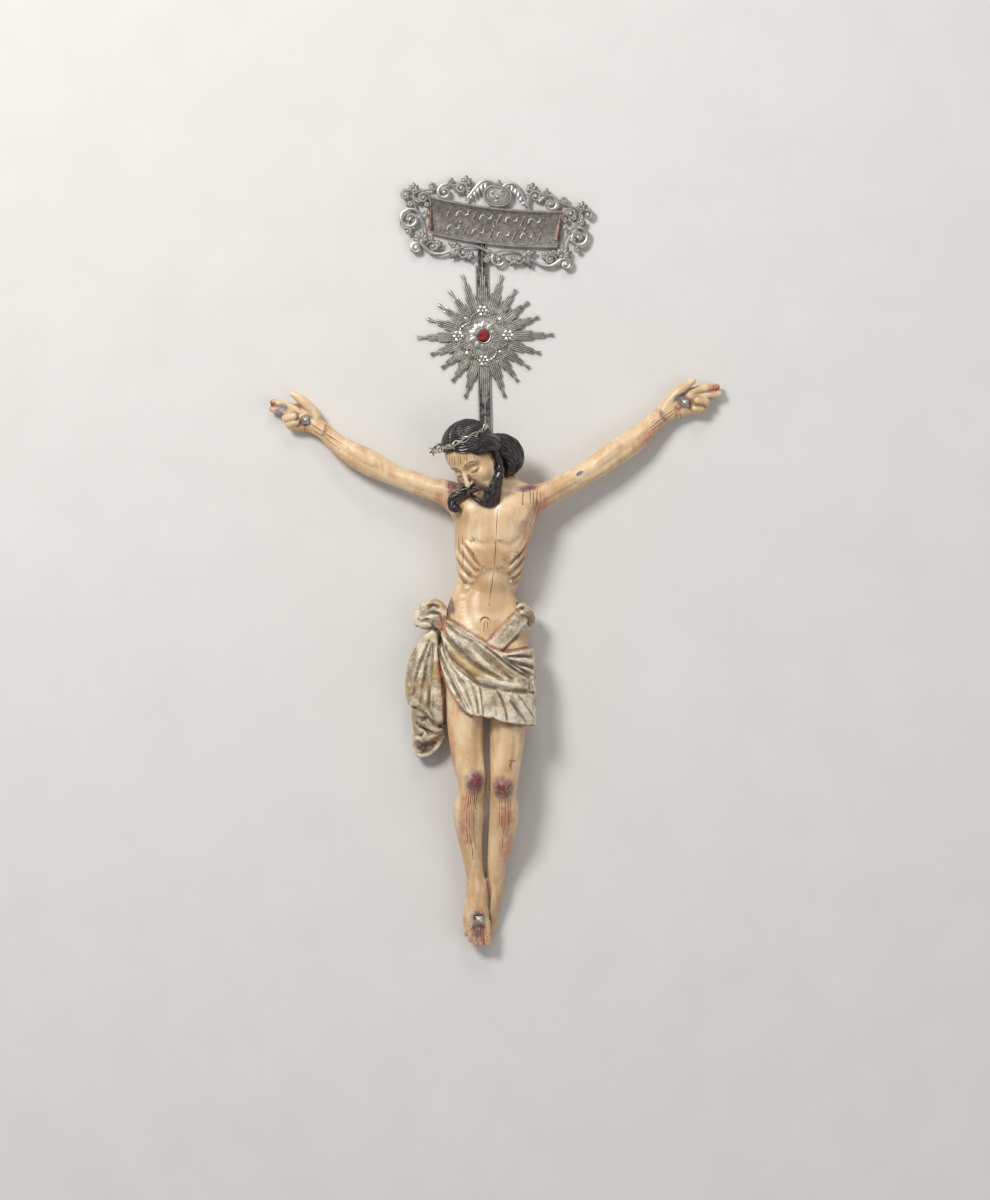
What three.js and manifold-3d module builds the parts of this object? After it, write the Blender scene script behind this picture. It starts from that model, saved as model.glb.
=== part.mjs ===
// A carved and painted wooden crucifix figure lying on its back, face up, with its silver
// crown of thorns, three nails, a sunburst halo on a stem, and a pierced silver title plate.
// Millimetres. +Y runs from the toes to the head, +Z from the back to the face, +X to the
// figure's left. The origin is under the middle of the footprint, on the surface it lies on.
import * as THREE from "three";
import { mergeVertices } from "three/addons/utils/BufferGeometryUtils.js";
import Module from "manifold-3d";

const wasm = await Module();
wasm.setup();

// Driving sizes
const FIGURE_HEIGHT = 318; // toe tips to the crown of the hair
const CLEARANCE = 0.35; // air between pieces that seat in each other
const NAIL_HEAD_WIDTH = 4.8; // across the flats of the faceted head
const NAIL_HEAD_HEIGHT = 2.4;
const NAIL_SHANK_DIAMETER = 2.2;
const STEM_WIDTH = 7.8; // flat strip that carries the halo and the title plate
const STEM_THICKNESS = 1.5;
const STEM_SEAT_DEPTH = 30; // length of strip let into the back of the shoulders
const STEM_LEAN = 1.2; // degrees, upper end to the figure's right
const HALO_RADIUS = 41.5; // middle of the stone to the tip of a side ray
const HALO_THICKNESS = 1.2;
const RAY_COUNT = 20;
const RAY_WIDTH = 6.4; // across the five reeds of a ray
const STONE_DIAMETER = 7.4;
const STONE_HEIGHT = 3.2;
const COLLET_WALL = 0.7; // silver rim round the stone
const TITLE_WIDTH = 80; // plain panel of the title plate, without its scrolls
const TITLE_HEIGHT = 21.5;
const TITLE_SAG = 2.6; // middle of the panel's edges below its corners
const TITLE_THICKNESS = 1.4;
const TITLE_TILT = 6; // degrees, left side up
const CROWN_WIRE_DIAMETER = 1.1;
const CROWN_HALF_TWISTS = 9;
const THORN_COUNT = 9;
const THORN_LENGTH = 4.2;

// The body is drawn on a grid of 530 steps to the figure's height, measured from the toe
// tips, the midline and the back. All tables of stations below are in grid steps.
const GRID = 530;
const u = FIGURE_HEIGHT / GRID;
const HALO_CENTRE = { x: -2.5, y: 615 };
const TITLE_CENTRE = { x: 9, y: 729, overlap: -8 };

// Lengths of the rays, from the upright ones round to the side ones, as shares of the radius.
const RAY_SHARES = [1.12, 0.96, 0.84, 0.83, 0.88, 1.02];

const WOOD = { color: 0xd9b283, roughness: 0.5, metalness: 0 };
const SILVER = { color: 0x9a9690, roughness: 0.38, metalness: 0.9 };
const GLASS = { color: 0x8c1030, roughness: 0.1, metalness: 0 };

// Joining and cutting

function toSolid(geometry) {
  const bare = geometry.index ? geometry.toNonIndexed() : geometry.clone();
  for (const name of Object.keys(bare.attributes)) {
    if (name !== "position") bare.deleteAttribute(name);
  }
  const merged = mergeVertices(bare, 1e-3);
  return new wasm.Manifold(
    new wasm.Mesh({
      numProp: 3,
      vertProperties: merged.attributes.position.array,
      triVerts: new Uint32Array(merged.index.array),
    }),
  );
}

function toGeometry(solid) {
  const { vertProperties, triVerts } = solid.getMesh();
  return new THREE.BufferGeometry()
    .setAttribute("position", new THREE.BufferAttribute(vertProperties, 3))
    .setIndex(new THREE.BufferAttribute(triVerts, 1));
}

// Slips that the cuts leave loose are swept off: the largest body is the piece.
const largest = (solid) => solid.decompose().sort((a, b) => b.volume() - a.volume())[0];

function toMesh(name, solid, look) {
  const geometry = toGeometry(largest(toSolid(toGeometry(solid))));
  geometry.computeVertexNormals();
  const mesh = new THREE.Mesh(geometry, new THREE.MeshStandardMaterial({ ...look, flatShading: true }));
  mesh.name = name;
  return mesh;
}

const join = (geometries) => geometries.map(toSolid).reduce((whole, next) => whole.add(next));

// Forms

// A limb is a sphere whose rows of points are laid along a smooth curve through the stations.
// A station is [x, y, z, half width, half depth]; depth is the width where it is left out.
function limb(stations, sides, steps, scale = u) {
  const at = (read) => new THREE.CatmullRomCurve3(stations.map(read), false, "centripetal");
  const line = at(([x, y, z]) => new THREE.Vector3(x, y, z));
  const girth = at(([, , , wide, deep = wide]) => new THREE.Vector3(wide, deep, 0));
  const capRows = sides > 8 ? 2 : 1;
  const rows = steps + 2 * capRows;
  const skin = new THREE.SphereGeometry(1, sides, rows);
  const { position, uv } = skin.attributes;
  const forward = new THREE.Vector3(0, 0, 1);
  for (let i = 0; i < position.count; i++) {
    const row = Math.round(uv.getY(i) * rows);
    const t = THREE.MathUtils.clamp((row - capRows) / steps, 0, 1);
    const middle = line.getPoint(t);
    const radii = girth.getPoint(t);
    const along = line.getTangent(t);
    const across = new THREE.Vector3().crossVectors(along, forward);
    if (across.length() < 0.2) across.set(1, 0, 0);
    across.normalize();
    const out = new THREE.Vector3().crossVectors(across, along);
    // Past either end the rows close over a rounded cap.
    const past = row < capRows ? row / capRows - 1 : row > rows - capRows ? (row - rows) / capRows + 1 : 0;
    const lean = (past * Math.PI) / 2;
    // A section of three sides stands on its base.
    const angle = uv.getX(i) * 2 * Math.PI + (sides === 3 ? Math.PI / 2 : 0);
    const cap = Math.min(radii.x, radii.y);
    middle
      .addScaledVector(along, Math.sin(lean) * cap)
      .addScaledVector(across, -Math.cos(angle) * Math.cos(lean) * radii.x)
      .addScaledVector(out, Math.sin(angle) * Math.cos(lean) * radii.y)
      .multiplyScalar(scale);
    position.setXYZ(i, middle.x, middle.y, middle.z);
  }
  return skin;
}

function ball([x, y, z], [rx, ry, rz], sides, rows) {
  return new THREE.SphereGeometry(1, sides, rows)
    .scale(rx * u, ry * u, rz * u)
    .translate(x * u, y * u, z * u);
}

// Body

const TORSO = [
  [7, 467, 20, 17, 16],
  [8, 457, 23, 33, 21],
  [8.5, 446, 25.5, 40, 26.5],
  [9, 434, 27.5, 41.5, 29],
  [7, 418, 28.5, 38.5, 29.5],
  [4.8, 402, 28, 36.3, 29],
  [4, 386, 26.5, 33.5, 27],
  [2.3, 370, 23.5, 30.3, 23.5],
  [1, 359, 22.5, 29.5, 21.5],
  [-1.5, 349, 22.5, 33.5, 22],
  [-2, 335, 23.5, 38, 24],
  [-1, 318, 25, 41, 26],
  [0, 296, 26, 42, 27],
  [0, 272, 27, 38, 24],
];
const CHEST = [
  [[-11, 437, 40], [20, 17, 15.5]],
  [[28, 437, 40], [20, 17, 15.5]],
];
const RIGHT_LEG = [
  [-19, 300, 27, 22, 24],
  [-20.5, 262, 30, 20.5, 22],
  [-20.5, 218, 34, 17.6, 18.5],
  [-17.5, 190, 38.5, 16, 16.5],
  [-13.5, 168, 42, 14.6, 15.5],
  [-15.5, 152, 38.5, 13.6, 14],
  [-17.6, 136, 33, 15.4, 15.6],
  [-16.3, 114, 26.5, 12.4, 12.6],
  [-13.5, 90, 22, 9.6, 10],
  [-10, 70, 20, 9, 9.5],
  [-8.5, 56, 19.5, 10, 10],
];
const LEFT_LEG = [
  [20, 300, 27, 22, 24],
  [21.5, 262, 30, 20.5, 22],
  [21.5, 218, 34, 17.6, 18.5],
  [19.5, 190, 38, 16, 16.5],
  [17, 165, 41, 14.3, 15.5],
  [16.5, 152, 37.5, 13.4, 14],
  [18, 136, 31, 15.2, 15.4],
  [15.5, 114, 24, 13.3, 13],
  [11.5, 90, 17.5, 10.6, 10.5],
  [8.3, 70, 13, 9.6, 9.5],
  [8, 56, 10.5, 8.8, 9],
];
const RIGHT_FOOT = [
  [-8.5, 60, 19.5, 10, 10],
  [-10, 44, 20.5, 11.8, 9],
  [-10.2, 30, 19.5, 13.2, 7.5],
  [-9.5, 18, 17, 12.6, 5.5],
];
const LEFT_FOOT = [
  [8, 60, 10.5, 8.8, 9.5],
  [5, 44, 9, 8.8, 9],
  [2.2, 32, 7.5, 9.2, 8],
  [-1, 20, 5.5, 8.5, 6],
  [-3, 8, 4.5, 7, 4.6],
];
// Toes of the upper foot, little toe first: [x at the root, x and y at the tip, radius].
const TOES = [
  [-19, -20, 13, 3.1],
  [-14.8, -15.4, 7, 3.1],
  [-10.4, -10.7, 3.6, 3.2],
  [-5.6, -5.4, 3.2, 3.4],
  [0.6, 1.6, 4.2, 4],
];
const RIGHT_ARM = [
  [-22, 447, 27, 17, 17],
  [-42, 457.5, 26, 13, 13],
  [-58, 462, 24.5, 10.8],
  [-74, 468, 22.5, 11.2],
  [-90, 473.7, 20.5, 10.2],
  [-106, 481.5, 19, 12.2, 11.4],
  [-122, 489.7, 17, 12.9, 11.5],
  [-138, 498.2, 15, 11.6, 10.4],
  [-150, 507, 13, 9.6, 9],
  [-161, 517.5, 11, 8.2, 7.8],
  [-173, 526, 9, 9.5, 7.8],
  [-184, 532, 7, 13.2, 8.5],
  [-193, 535.5, 7, 12, 7],
];
const LEFT_ARM = [
  [34, 446, 27, 17, 17],
  [56, 453.5, 26, 13, 13],
  [66, 458.5, 25, 11.4],
  [82, 466.7, 23, 10.9],
  [98, 475.6, 21, 10.9, 10.6],
  [114, 485.2, 19, 12, 11.2],
  [130, 497.3, 17, 13, 11.4],
  [146, 507.3, 15, 12.3, 10.8],
  [162, 521.5, 13, 10.1, 9.4],
  [175, 533.5, 10.5, 9.3, 8],
  [187, 541.5, 8.5, 11, 8],
  [199, 547.5, 7, 13.4, 8.5],
  [208, 550.5, 7, 12.4, 7],
];
// Each hand blesses: thumb, fore and middle finger straight, the other two folded in.
const RIGHT_FINGERS = {
  thumb: [[-171, 533, 10, 6.4], [-178, 543.5, 12, 5.2], [-186.5, 551.5, 13, 4.4], [-194.5, 556.5, 13, 3]],
  fore: [[-191, 541.5, 9, 4.5], [-204, 545.5, 10, 4.1], [-214, 548.3, 9, 3.4]],
  middle: [[-192, 535.5, 9, 4.7], [-204.5, 539.3, 10, 4.2], [-214.5, 541.6, 8.5, 3.4]],
  ring: [[-190, 530, 9, 4.8], [-200.5, 532.2, 12, 4.7], [-193, 533.6, 16, 4]],
  little: [[-187, 523.5, 9, 4.6], [-197.5, 525.8, 11.5, 4.3], [-190.5, 527.8, 15, 3.6]],
};
const LEFT_FINGERS = {
  thumb: [[181, 543, 10, 7], [191, 556, 12, 5.6], [201, 564.5, 13, 4.2], [208, 569.3, 13, 2.8]],
  fore: [[205, 557.8, 9, 4.7], [220, 562.3, 10, 4.3], [231.5, 563.8, 9, 3.5]],
  middle: [[207, 551.8, 9, 4.7], [222, 554.6, 10, 4.2], [234.2, 557.2, 9, 3.3]],
  ring: [[209, 546.5, 9, 4.9], [220.5, 548.4, 12, 4.8], [212.5, 549.6, 16, 4]],
  little: [[206, 540.5, 9, 4.7], [216.5, 541, 11.5, 4.3], [209.5, 541.6, 15, 3.6]],
};

// Surface of the chest straight above a point of the grid, from the torso's own stations.
function torsoFront(x, y) {
  const i = Math.max(1, TORSO.findIndex((s) => s[1] <= y));
  const [low, high] = [TORSO[i], TORSO[i - 1]];
  const t = (y - low[1]) / (high[1] - low[1]);
  const [cx, , cz, wide, deep] = low.map((v, k) => THREE.MathUtils.lerp(v, high[k], t));
  return cz + deep * Math.sqrt(Math.max(0, 1 - ((x - cx) / wide) ** 2));
}

// Ribs slope down from the flank towards the breastbone on both sides.
const RIB_COUNT = 3;

function ribs() {
  const made = [];
  for (const side of [-1, 1]) {
    for (let i = 0; i < RIB_COUNT; i++) {
      const top = 417 - i * 12;
      const stations = [33 - i, 24 - i, 14 + i].map((out, k) => {
        const [x, y] = [6 - i + side * out, top - k * 13];
        return [x, y, torsoFront(x, y) - 2.2, 3.2, 3.2];
      });
      made.push(limb(stations, 4, 2));
    }
  }
  return made;
}

function toes() {
  return TOES.map(([rootX, tipX, tipY, r]) =>
    limb([[rootX, 24, 19, r], [(rootX + tipX) / 2, (24 + tipY) / 2, 18, r], [tipX, tipY, 15, r * 0.9]], 4, 2),
  );
}

function body() {
  const fingers = [RIGHT_FINGERS, LEFT_FINGERS].flatMap((hand) => Object.values(hand));
  return [
    limb(TORSO, 10, 9),
    ...CHEST.map(([place, size]) => ball(place, size, 7, 5)),
    ...ribs(),
    limb(RIGHT_LEG, 6, 6),
    limb(LEFT_LEG, 6, 6),
    limb(RIGHT_FOOT, 6, 3),
    limb(LEFT_FOOT, 6, 3),
    ...toes(),
    limb(RIGHT_ARM, 7, 11),
    limb(LEFT_ARM, 7, 11),
    ...fingers.map((finger) => limb(finger, 4, 2)),
  ];
}

// Head, in its own frame: x to the figure's left, y up, z out of the face, in grid steps
// from the middle of the head. It is bowed, turned and leant towards the right shoulder.
const HEAD_CENTRE = [-11.6, 489.9, 52];
const HEAD_BOW = 25;
const HEAD_TURN = 36;
const HEAD_LEAN = 18;
const headPlace = new THREE.Matrix4().makeTranslation(...HEAD_CENTRE.map((v) => v * u));
for (const [axis, degrees] of [["Z", HEAD_LEAN], ["Y", -HEAD_TURN], ["X", HEAD_BOW]]) {
  headPlace.multiply(new THREE.Matrix4()[`makeRotation${axis}`](THREE.MathUtils.degToRad(degrees)));
}
const BROW_SIDE = [[0, 6, 24.5, 2.2], [8, 8, 23.6, 2.4], [16, 6, 18.5, 2.2]];
const BEARD_SIDE = [
  [21.6, 6, -5, 3, 4],
  [22, -8, -2, 4, 6],
  [19.5, -23, 5, 4.8, 7],
  [12, -34, 16, 5.2, 6.5],
  [3.4, -43, 21, 4, 4],
];
const MOUSTACHE_SIDE = [
  [0.8, -15.8, 30, 1.6],
  [5.5, -18, 28.4, 2.3, 2.1],
  [10.8, -26.5, 22.8, 1.8],
];

function mirrored(stations) {
  return stations.map(([x, ...rest]) => [-x, ...rest]);
}

function head() {
  const parts = [
    ball([0, -4, 4], [21, 28, 22], 9, 7),
    ball([0, -24, 12], [14, 12.5, 13.5], 8, 5),
    limb([[0, 7, 23.6, 2.6], [0, -5, 29, 2.5, 2.8], [0, -11.5, 30.8, 3.8, 3.4]], 6, 3),
    limb([[-5.6, -21, 25.4, 1.8], [0, -21, 27.6, 2.8, 2.4], [5.6, -21, 25.4, 1.8]], 5, 2),
  ];
  for (const side of [(stations) => stations, mirrored]) {
    const [[x, y, z]] = side([[9, -1.2, 19.6]]);
    parts.push(
      ball([x, y, z], [4.8, 3.5, 4.2], 6, 4),
      limb(side(BROW_SIDE), 5, 2),
      limb(side(BEARD_SIDE), 4, 4),
      limb(side(MOUSTACHE_SIDE), 4, 2),
    );
  }
  return parts.map((part) => part.applyMatrix4(headPlace));
}

// The hair is a close cap. It ends in a straight line over the brow and behind the cheeks.
const HAIRLINE = 494.5;
const CHEEK_LINE = -9;

function hairCap() {
  const cap = toSolid(ball([0, 13.6, -3], [27, 27, 28], 12, 7).applyMatrix4(headPlace));
  const below = new THREE.BoxGeometry(200, 100, 200).translate(0, HAIRLINE * u - 50, 0);
  const ahead = new THREE.BoxGeometry(200, 200, 100).translate(0, 0, CHEEK_LINE * u + 50);
  return cap.subtract(toSolid(below).intersect(toSolid(ahead.applyMatrix4(headPlace))));
}

const NECK = [
  [2, 488, 36, 15, 15],
  [8, 474, 29, 15.5, 14],
  [9, 458, 26, 22, 15],
];
// Hair that leaves the cap: the roll behind the left ear with its outer lock, the mass on
// the nape, the wave over the brow, and the lock that ends in a curl on the right breast.
const LOCKS = [
  [[-6, 505, 54, 9], [19, 504, 42, 9.5], [27, 497, 38, 9.5], [28, 488, 35, 9], [21, 479, 32, 7.5]],
  [[12, 512, 44, 4], [22, 509, 44, 5], [30.5, 501.5, 41, 5], [33, 491.5, 40, 5], [29, 482, 37, 4.5]],
  [[-14, 502, 34, 17, 11], [0, 484, 27, 15, 12], [8, 468, 20, 12, 9]],
  [[-31, 498, 70, 4, 3.5], [-20, 498, 76.5, 5, 4], [-5, 499, 75, 5, 4], [9, 502, 58, 6]],
  [[-14, 462, 54, 3.8], [-24, 457, 53, 4.4], [-33, 450, 52, 4.6], [-32, 441, 53, 4.8], [-29, 443, 56, 4]],
];

// Loincloth

const HIP_CLOTH = [
  [-2, 345, 23, 40, 26],
  [0, 325, 25, 44, 29],
  [1, 300, 28, 47, 32],
  [3, 270, 31, 47.5, 32],
  [5, 245, 33, 45.5, 32],
  [7, 212, 35, 43, 29],
];
// Front view of the wrap: the dip at the navel above, the slanting hem below.
const CLOTH_TOP = [[-48, 334], [-38, 329], [2, 304.5], [20, 296], [52, 303]];
const CLOTH_HEM = [[52, 224], [22, 225], [-2, 233], [-25, 245], [-39, 265], [-50, 296]];
// Folds fan out from the knot at the right hip: [x, y, radius] along each.
const FOLDS = [
  [[-36, 326, 2.5], [-12, 311, 3.6], [8, 300, 3.6], [30, 285, 3.2], [46, 274, 2.6]],
  [[-38, 320, 2.5], [-16, 299, 4], [8, 284, 4.6], [30, 273, 4], [47, 264, 2.6]],
  [[-40, 314, 2.6], [-25, 290, 4.4], [-4, 273, 5.4], [18, 265, 5], [46, 257, 3]],
  [[-42, 308, 2.6], [-38, 285, 3.8], [-31, 265, 4], [-22, 247, 3]],
  [[-40, 303, 2.6], [-29, 275, 4.2], [-17, 255, 4.2], [-9, 239, 3.2]],
  [[-4, 262, 3], [1, 248, 4], [4, 234, 3]],
  [[12, 259, 3], [18, 244, 4.2], [22, 229, 3]],
  [[24, 258, 3], [34, 244, 4.2], [44, 228, 3.2]],
  [[36, 256, 3], [46, 248, 3.4], [50, 240, 3]],
];
const BELT = [
  [0, 298, 54, 5, 5],
  [13, 311, 51, 7, 5.5],
  [27, 325, 44, 7.5, 6],
  [37, 337, 32, 7, 7],
  [38, 340, 18, 7, 7],
];
const TAIL = [
  [[-52, 318, 28, 4], [-66, 294, 24, 6.5, 8], [-75, 270, 20, 7, 8], [-74, 247, 18, 6, 7]],
  [[-51, 316, 31, 4], [-58, 288, 28, 6.5, 8], [-63, 262, 26, 7.5, 9], [-65, 238, 22, 6.5, 8]],
  [[-50, 314, 32, 4], [-51, 286, 31, 6.5, 8], [-52, 258, 29, 7.5, 9], [-51, 232, 25, 6.5, 8]],
  [[-66, 244, 17, 7, 8], [-68, 222, 15, 7.5, 9], [-67, 199, 14, 6.5, 8]],
  [[-53, 234, 20, 8, 9], [-53, 216, 17, 8.5, 9], [-57, 203, 14, 7, 8]],
];
const KNOT = [
  [[-41, 319, 30, 6], [-50, 333, 31, 7], [-59, 343, 29, 6.5], [-64, 331, 28, 6.5], [-56, 322, 30, 5.5]],
  [[-40, 322, 24, 7, 9], [-54, 330, 22, 9, 9], [-58, 338, 22, 7, 8]],
];

function clothFront(x, y) {
  const i = Math.max(1, HIP_CLOTH.findIndex((s) => s[1] <= y));
  const [low, high] = [HIP_CLOTH[i], HIP_CLOTH[i - 1]];
  const t = (y - low[1]) / (high[1] - low[1]);
  const [cx, , cz, wide, deep] = low.map((v, k) => THREE.MathUtils.lerp(v, high[k], t));
  return cz + deep * Math.sqrt(Math.max(0.04, 1 - ((x - cx) / wide) ** 2));
}

function loincloth() {
  const wrap = [limb(HIP_CLOTH, 14, 5)];
  for (const fold of FOLDS) {
    const stations = fold.map(([x, y, r]) => [x, y, clothFront(x, y) - 0.4 * r, r, r]);
    wrap.push(limb(stations, 4, fold.length - 1));
  }
  const outline = new THREE.Shape();
  outline.moveTo(...CLOTH_TOP[0].map((v) => v * u));
  for (const [x, y] of CLOTH_TOP.slice(1)) outline.lineTo(x * u, y * u);
  outline.lineTo(...CLOTH_HEM[0].map((v) => v * u));
  outline.splineThru(CLOTH_HEM.slice(1).map(([x, y]) => new THREE.Vector2(x * u, y * u)));
  const board = new THREE.ExtrudeGeometry(outline, { depth: 120 * u, bevelEnabled: false, curveSegments: 3 });
  const cut = join(wrap).intersect(toSolid(board.translate(0, 0, -20 * u)));
  const loose = [...TAIL, ...KNOT].map((fold) => limb(fold, 4, fold.length - 1));
  return cut.add(join([limb(BELT, 5, 4), ...loose]));
}

// Nails

const NAILS = {
  nail_right_hand: { x: -181, y: 530, top: 15.2 },
  nail_left_hand: { x: 200, y: 547.3, top: 15.2 },
  nail_feet: { x: -6.8, y: 29.4, top: 26.6 },
};

function shaft(radius, low, high, { x, y }) {
  return new THREE.CylinderGeometry(radius, radius, high - low, 8)
    .rotateX(Math.PI / 2)
    .translate(x * u, y * u, (low + high) / 2);
}

// A forged nail: a shank flush with the back, under a head beaten to a low pyramid.
function nail(place) {
  const seat = place.top * u + CLEARANCE;
  const corner = NAIL_HEAD_WIDTH / Math.SQRT2;
  const profile = [[0, 0], [corner, 0], [corner * 0.9, 0.35], [corner * 0.2, 1], [0, 1]];
  const outline = profile.map(([r, h]) => new THREE.Vector2(r, h * NAIL_HEAD_HEIGHT));
  const head = new THREE.LatheGeometry(outline, 4)
    .rotateX(Math.PI / 2)
    .rotateZ(Math.PI / 4)
    .translate(place.x * u, place.y * u, seat);
  return join([head, shaft(NAIL_SHANK_DIAMETER / 2, CLEARANCE, seat + NAIL_HEAD_HEIGHT / 4, place)]);
}

// Crown of thorns

// The ring slopes up to the figure's left and drops a little towards the brow.
const CROWN_CENTRE = new THREE.Vector3(-26, 510.5, 53.5).multiplyScalar(u);
const CROWN_RADII = [29.8, 29];
const CROWN_SLOPE = THREE.MathUtils.degToRad(24.8);
const CROWN_DROP = THREE.MathUtils.degToRad(8);
const crownSide = new THREE.Vector3(Math.cos(CROWN_SLOPE), Math.sin(CROWN_SLOPE), 0);
const crownUp = new THREE.Vector3(0, Math.cos(CROWN_DROP), Math.sin(CROWN_DROP))
  .applyAxisAngle(new THREE.Vector3(0, 0, 1), CROWN_SLOPE);
const crownAhead = new THREE.Vector3().crossVectors(crownSide, crownUp);

function crownPoint(turn, out = 0, up = 0) {
  const angle = turn * 2 * Math.PI;
  return CROWN_CENTRE.clone()
    .addScaledVector(crownSide, (CROWN_RADII[0] * u + out) * Math.sin(angle))
    .addScaledVector(crownAhead, (CROWN_RADII[1] * u + out) * Math.cos(angle))
    .addScaledVector(crownUp, up);
}

// A closed ring of wire: the rows of a torus are laid along a path that meets itself.
function ringOfWire(path, radius, sides, steps) {
  const ring = new THREE.TorusGeometry(2, 1, sides, steps);
  const { position, uv } = ring.attributes;
  for (let i = 0; i < position.count; i++) {
    const turn = (Math.round(uv.getX(i) * steps) % steps) / steps;
    const middle = path(turn);
    const along = path(turn + 0.002).sub(path(turn - 0.002)).normalize();
    const across = new THREE.Vector3().crossVectors(along, new THREE.Vector3(0, 0, 1)).normalize();
    const out = new THREE.Vector3().crossVectors(across, along);
    const angle = uv.getY(i) * 2 * Math.PI;
    middle.addScaledVector(across, radius * Math.cos(angle)).addScaledVector(out, radius * Math.sin(angle));
    position.setXYZ(i, middle.x, middle.y, middle.z);
  }
  return ring;
}

// One wire runs twice round the head and twists with itself, an odd number of half turns.
function crownStrand(turn) {
  const twist = turn * CROWN_HALF_TWISTS * 2 * Math.PI;
  const reach = CROWN_WIRE_DIAMETER * 0.55;
  return crownPoint(turn * 2, reach * Math.cos(twist), reach * Math.sin(twist));
}

function crownOfThorns() {
  const r = CROWN_WIRE_DIAMETER / 2;
  const thorns = Array.from({ length: THORN_COUNT }, (_, i) => {
    const turn = (i + 0.5) / THORN_COUNT;
    const lean = i % 2 ? 0.7 : -0.7;
    const root = crownPoint(turn);
    const tip = crownPoint(turn + 0.018, THORN_LENGTH * 0.75, THORN_LENGTH * lean);
    const length = root.distanceTo(tip);
    const aim = new THREE.Quaternion().setFromUnitVectors(
      new THREE.Vector3(0, 1, 0),
      tip.sub(root).normalize(),
    );
    return new THREE.ConeGeometry(r, length, 3)
      .translate(0, length / 2, 0)
      .applyQuaternion(aim)
      .translate(root.x, root.y, root.z);
  });
  return join([ringOfWire(crownStrand, r, 3, CROWN_HALF_TWISTS * 4), ...thorns]);
}

// The wire needs a bed in the hair, with room round both of its turns.
function crownBed() {
  return toSolid(ringOfWire((turn) => crownPoint(turn), CROWN_WIRE_DIAMETER * 1.05 + CLEARANCE, 6, 28));
}

// Corpus

function corpus() {
  const carved = join([
    ...body(),
    ...head(),
    limb(NECK, 8, 3),
    ...LOCKS.map((lock) => limb(lock, 4, lock.length - 1)),
  ])
    .add(hairCap())
    .add(loincloth());
  const below = new THREE.BoxGeometry(600 * u, 700 * u, 60 * u).translate(0, 300 * u, -30 * u);
  let solid = carved.subtract(toSolid(below)).subtract(crownBed());
  const above = 100 * u;
  const seatWidth = NAIL_HEAD_WIDTH + 2 * CLEARANCE;
  for (const place of Object.values(NAILS)) {
    const seat = new THREE.BoxGeometry(seatWidth, seatWidth, above)
      .translate(place.x * u, place.y * u, place.top * u + above / 2);
    solid = solid
      .subtract(toSolid(shaft(NAIL_SHANK_DIAMETER / 2 + CLEARANCE, -CLEARANCE, above, place)))
      .subtract(toSolid(seat));
  }
  solid = solid.subtract(toSolid(stemStrip(CLEARANCE)));
  return toMesh("corpus", solid, WOOD);
}

// Halo

const SHOULDER_TOP = 462 * u;
const stemLow = SHOULDER_TOP - STEM_SEAT_DEPTH;
const stemHigh = (TITLE_CENTRE.y - TITLE_CENTRE.overlap) * u;
const haloBase = STEM_THICKNESS;

// The stem leans a little, about the middle of the halo.
const leant = (geometry) =>
  geometry
    .translate(-HALO_CENTRE.x * u, -HALO_CENTRE.y * u, 0)
    .rotateZ(THREE.MathUtils.degToRad(STEM_LEAN))
    .translate(HALO_CENTRE.x * u, HALO_CENTRE.y * u, 0);

function stemStrip(room = 0) {
  return leant(
    new THREE.BoxGeometry(STEM_WIDTH + 2 * room, stemHigh - stemLow + 2 * room, STEM_THICKNESS + 2 * room)
      .translate(HALO_CENTRE.x * u, (stemLow + stemHigh) / 2, STEM_THICKNESS / 2),
  );
}

// A ray is a sheaf of five reeds. Each pair outwards from the middle one stops shorter.
const RAY_STEPS = [[0.68, 1], [0.84, 0.6], [1, 0.2]];

function rayEdge(length) {
  const edge = [[RAY_WIDTH * 0.36, HALO_RADIUS * 0.4]];
  for (const [share, wide] of RAY_STEPS) {
    const out = (RAY_WIDTH / 2) * wide;
    edge.push([out, length * share], [out - RAY_WIDTH * 0.2, length * share]);
  }
  edge[edge.length - 2] = [0, length];
  return edge.slice(0, -1);
}

// The rays are one casting: its outline runs out and back along each of them in turn.
function rays() {
  const outline = [];
  const quarter = RAY_COUNT / 4;
  for (let i = 0; i < RAY_COUNT; i++) {
    const fromUpright = quarter - Math.abs((i % (2 * quarter)) - quarter);
    const edge = rayEdge(HALO_RADIUS * RAY_SHARES[Math.min(fromUpright, RAY_SHARES.length - 1)]);
    const out = edge.slice(0, -1).map(([x, y]) => [-x, y]);
    for (const [x, y] of [...out, ...edge.reverse()]) {
      outline.push(new THREE.Vector2(x, y).rotateAround(new THREE.Vector2(), -(i / RAY_COUNT) * 2 * Math.PI));
    }
  }
  return new THREE.ExtrudeGeometry(new THREE.Shape(outline), { depth: HALO_THICKNESS, bevelEnabled: false });
}

function flower(petals, reach, height) {
  const outline = new THREE.Shape();
  for (let i = 0; i < petals * 2; i++) {
    const turn = (i * Math.PI) / petals;
    const r = reach * (i % 2 ? 0.72 : 1);
    outline[i ? "lineTo" : "moveTo"](r * Math.cos(turn), r * Math.sin(turn));
  }
  outline.closePath();
  return new THREE.ExtrudeGeometry(outline, { depth: height, bevelEnabled: false });
}

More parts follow.
